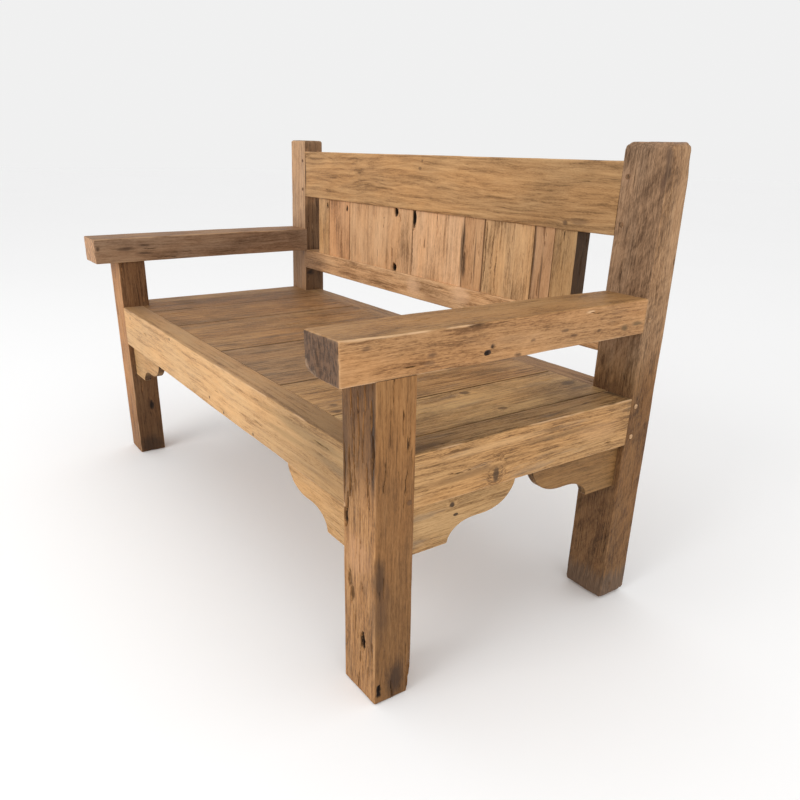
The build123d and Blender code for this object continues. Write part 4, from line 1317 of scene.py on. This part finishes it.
class BENCH_OT_pegs(bpy.types.Operator):
    """Finishes for the pegs, and for the bearers, dowels and screws that are out of sight"""
    bl_idname = "bench.pegs"
    bl_label = "Pegs and hidden pieces"
    bl_options = {"REGISTER", "UNDO"}

    def execute(self, context):
        for material, names in (
            (timber("finish_pegs", **PEG), ("top_rail_pegs", "bracket_dowels")),
            (timber("finish_plugs", **PLUG), ("arm_pegs", "side_rail_pegs")),
            (timber("finish_bearers", **BEARER), ("seat_ledger_front", "seat_ledger_back", "seat_batten")),
            (self.steel(), ("seat_screws", "ledger_screws")),
        ):
            for name in names:
                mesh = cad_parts[name].data
                mesh.materials.clear()
                mesh.materials.append(material)
        return {"FINISHED"}

    @staticmethod
    def steel():
        tree = Tree("finish_screws")
        scuff = tree.noise(tree.node("TexCoord").outputs["Object"], (900, 900, 900), 5, 3)
        base = tuple(colours().steel)
        tree.feed(tree.shader.inputs["Base Color"], tree.mix(scuff, base, tinted(base, 0.7)))
        tree.feed(tree.shader.inputs["Roughness"], 0.25 + scuff * 0.3)
        tree.shader.inputs["Metallic"].default_value = 1.0
        return tree.material


class BENCH_OT_stage(bpy.types.Operator):
    """Plain floor, soft lights and the camera"""
    bl_idname = "bench.stage"
    bl_label = "Floor, lights and camera"
    bl_options = {"REGISTER", "UNDO"}

    def execute(self, context):
        bpy.ops.object.select_all(action="DESELECT")
        bpy.ops.mesh.primitive_plane_add(size=60, location=(0, 0, 0))
        floor = bpy.context.active_object
        floor.name = "floor"
        tree = Tree("finish_floor")
        cloud = tree.noise(tree.node("TexCoord").outputs["Object"], (0.7, 0.7, 0.7), 3, 2)
        shade = tuple(colours().floor)
        tree.feed(tree.shader.inputs["Base Color"], tree.mix(cloud, shade, tinted(shade, 0.985)))
        tree.shader.inputs["Roughness"].default_value = 0.9
        floor.data.materials.append(tree.material)
        self.sky()
        for name, place, size, power in LAMPS:
            lamp = bpy.data.lights.new(name, "AREA")
            lamp.size, lamp.energy = size, power
            obj = bpy.data.objects.new(name, lamp)
            bpy.context.scene.collection.objects.link(obj)
            obj.location = place
            obj.rotation_euler = (Vector(LAMP_AIM) - Vector(place)).to_track_quat("-Z", "Y").to_euler()
        self.camera()
        return {"FINISHED"}

    @staticmethod
    def sky():
        """A white world, a little darker where the camera sees it than where it lights the bench."""
        world = bpy.data.worlds.new("studio")
        bpy.context.scene.world = world
        world.use_nodes = True
        nodes, links = world.node_tree.nodes, world.node_tree.links
        sky, seen = nodes["Background"], nodes.new("ShaderNodeBackground")
        for node, strength in ((sky, SKY_LIGHT), (seen, SKY_SEEN)):
            node.inputs["Color"].default_value = (1, 1, 1, 1)
            node.inputs["Strength"].default_value = strength
        path, blend = nodes.new("ShaderNodeLightPath"), nodes.new("ShaderNodeMixShader")
        links.new(path.outputs["Is Camera Ray"], blend.inputs[0])
        links.new(sky.outputs[0], blend.inputs[1])
        links.new(seen.outputs[0], blend.inputs[2])
        links.new(blend.outputs[0], nodes["World Output"].inputs["Surface"])

    @staticmethod
    def camera():
        """The camera as it was fitted to the photograph."""
        lens = bpy.data.cameras.new("camera")
        lens.sensor_width = 36
        lens.lens = CAMERA_LENS
        lens.shift_x, lens.shift_y = CAMERA_SHIFT
        camera = bpy.data.objects.new("camera", lens)
        bpy.context.scene.collection.objects.link(camera)
        eye = Vector(CAMERA_EYE)
        ahead = (Vector(CAMERA_AIM) - eye).normalized()
        right = ahead.cross(Vector((0, 0, 1))).normalized()
        up = right.cross(ahead)
        cos, sin = math.cos(CAMERA_ROLL), math.sin(CAMERA_ROLL)
        right, up = right * cos + up * sin, up * cos - right * sin
        turn = Matrix((right, up, -ahead)).transposed()
        camera.matrix_world = Matrix.Translation(eye) @ turn.to_4x4()
        bpy.context.scene.camera = camera


PIECES = (
    BENCH_OT_legs, BENCH_OT_posts, BENCH_OT_arms, BENCH_OT_seat_rails, BENCH_OT_seat_boards,
    BENCH_OT_back_rails, BENCH_OT_back_boards, BENCH_OT_brackets, BENCH_OT_pegs, BENCH_OT_stage,
)


class BENCH_PT_panel(bpy.types.Panel):
    """Sizes, colours and pieces of the bench"""
    bl_idname = "BENCH_PT_panel"
    bl_label = "Bench"
    bl_space_type = "VIEW_3D"
    bl_region_type = "UI"
    bl_category = "Bench"

    def draw(self, context):
        for group in (context.scene.bench_sizes, context.scene.bench_colours):
            column = self.layout.column()
            for name in group.__annotations__:
                column.prop(group, name)
        for piece in PIECES:
            self.layout.operator(piece.bl_idname)


CLASSES = (BenchSizes, BenchColours, *PIECES, BENCH_PT_panel)


def register():
    for each in CLASSES:
        bpy.utils.register_class(each)
    bpy.types.Scene.bench_sizes = bpy.props.PointerProperty(type=BenchSizes)
    bpy.types.Scene.bench_colours = bpy.props.PointerProperty(type=BenchColours)


def unregister():
    del bpy.types.Scene.bench_colours
    del bpy.types.Scene.bench_sizes
    for each in reversed(CLASSES):
        bpy.utils.unregister_class(each)


def main():
    register()
    bpy.context.scene.view_settings.view_transform = "Standard"
    for piece in PIECES:
        group, name = piece.bl_idname.split(".")
        getattr(getattr(bpy.ops, group), name)()


if __name__ == "__main__":
    main()
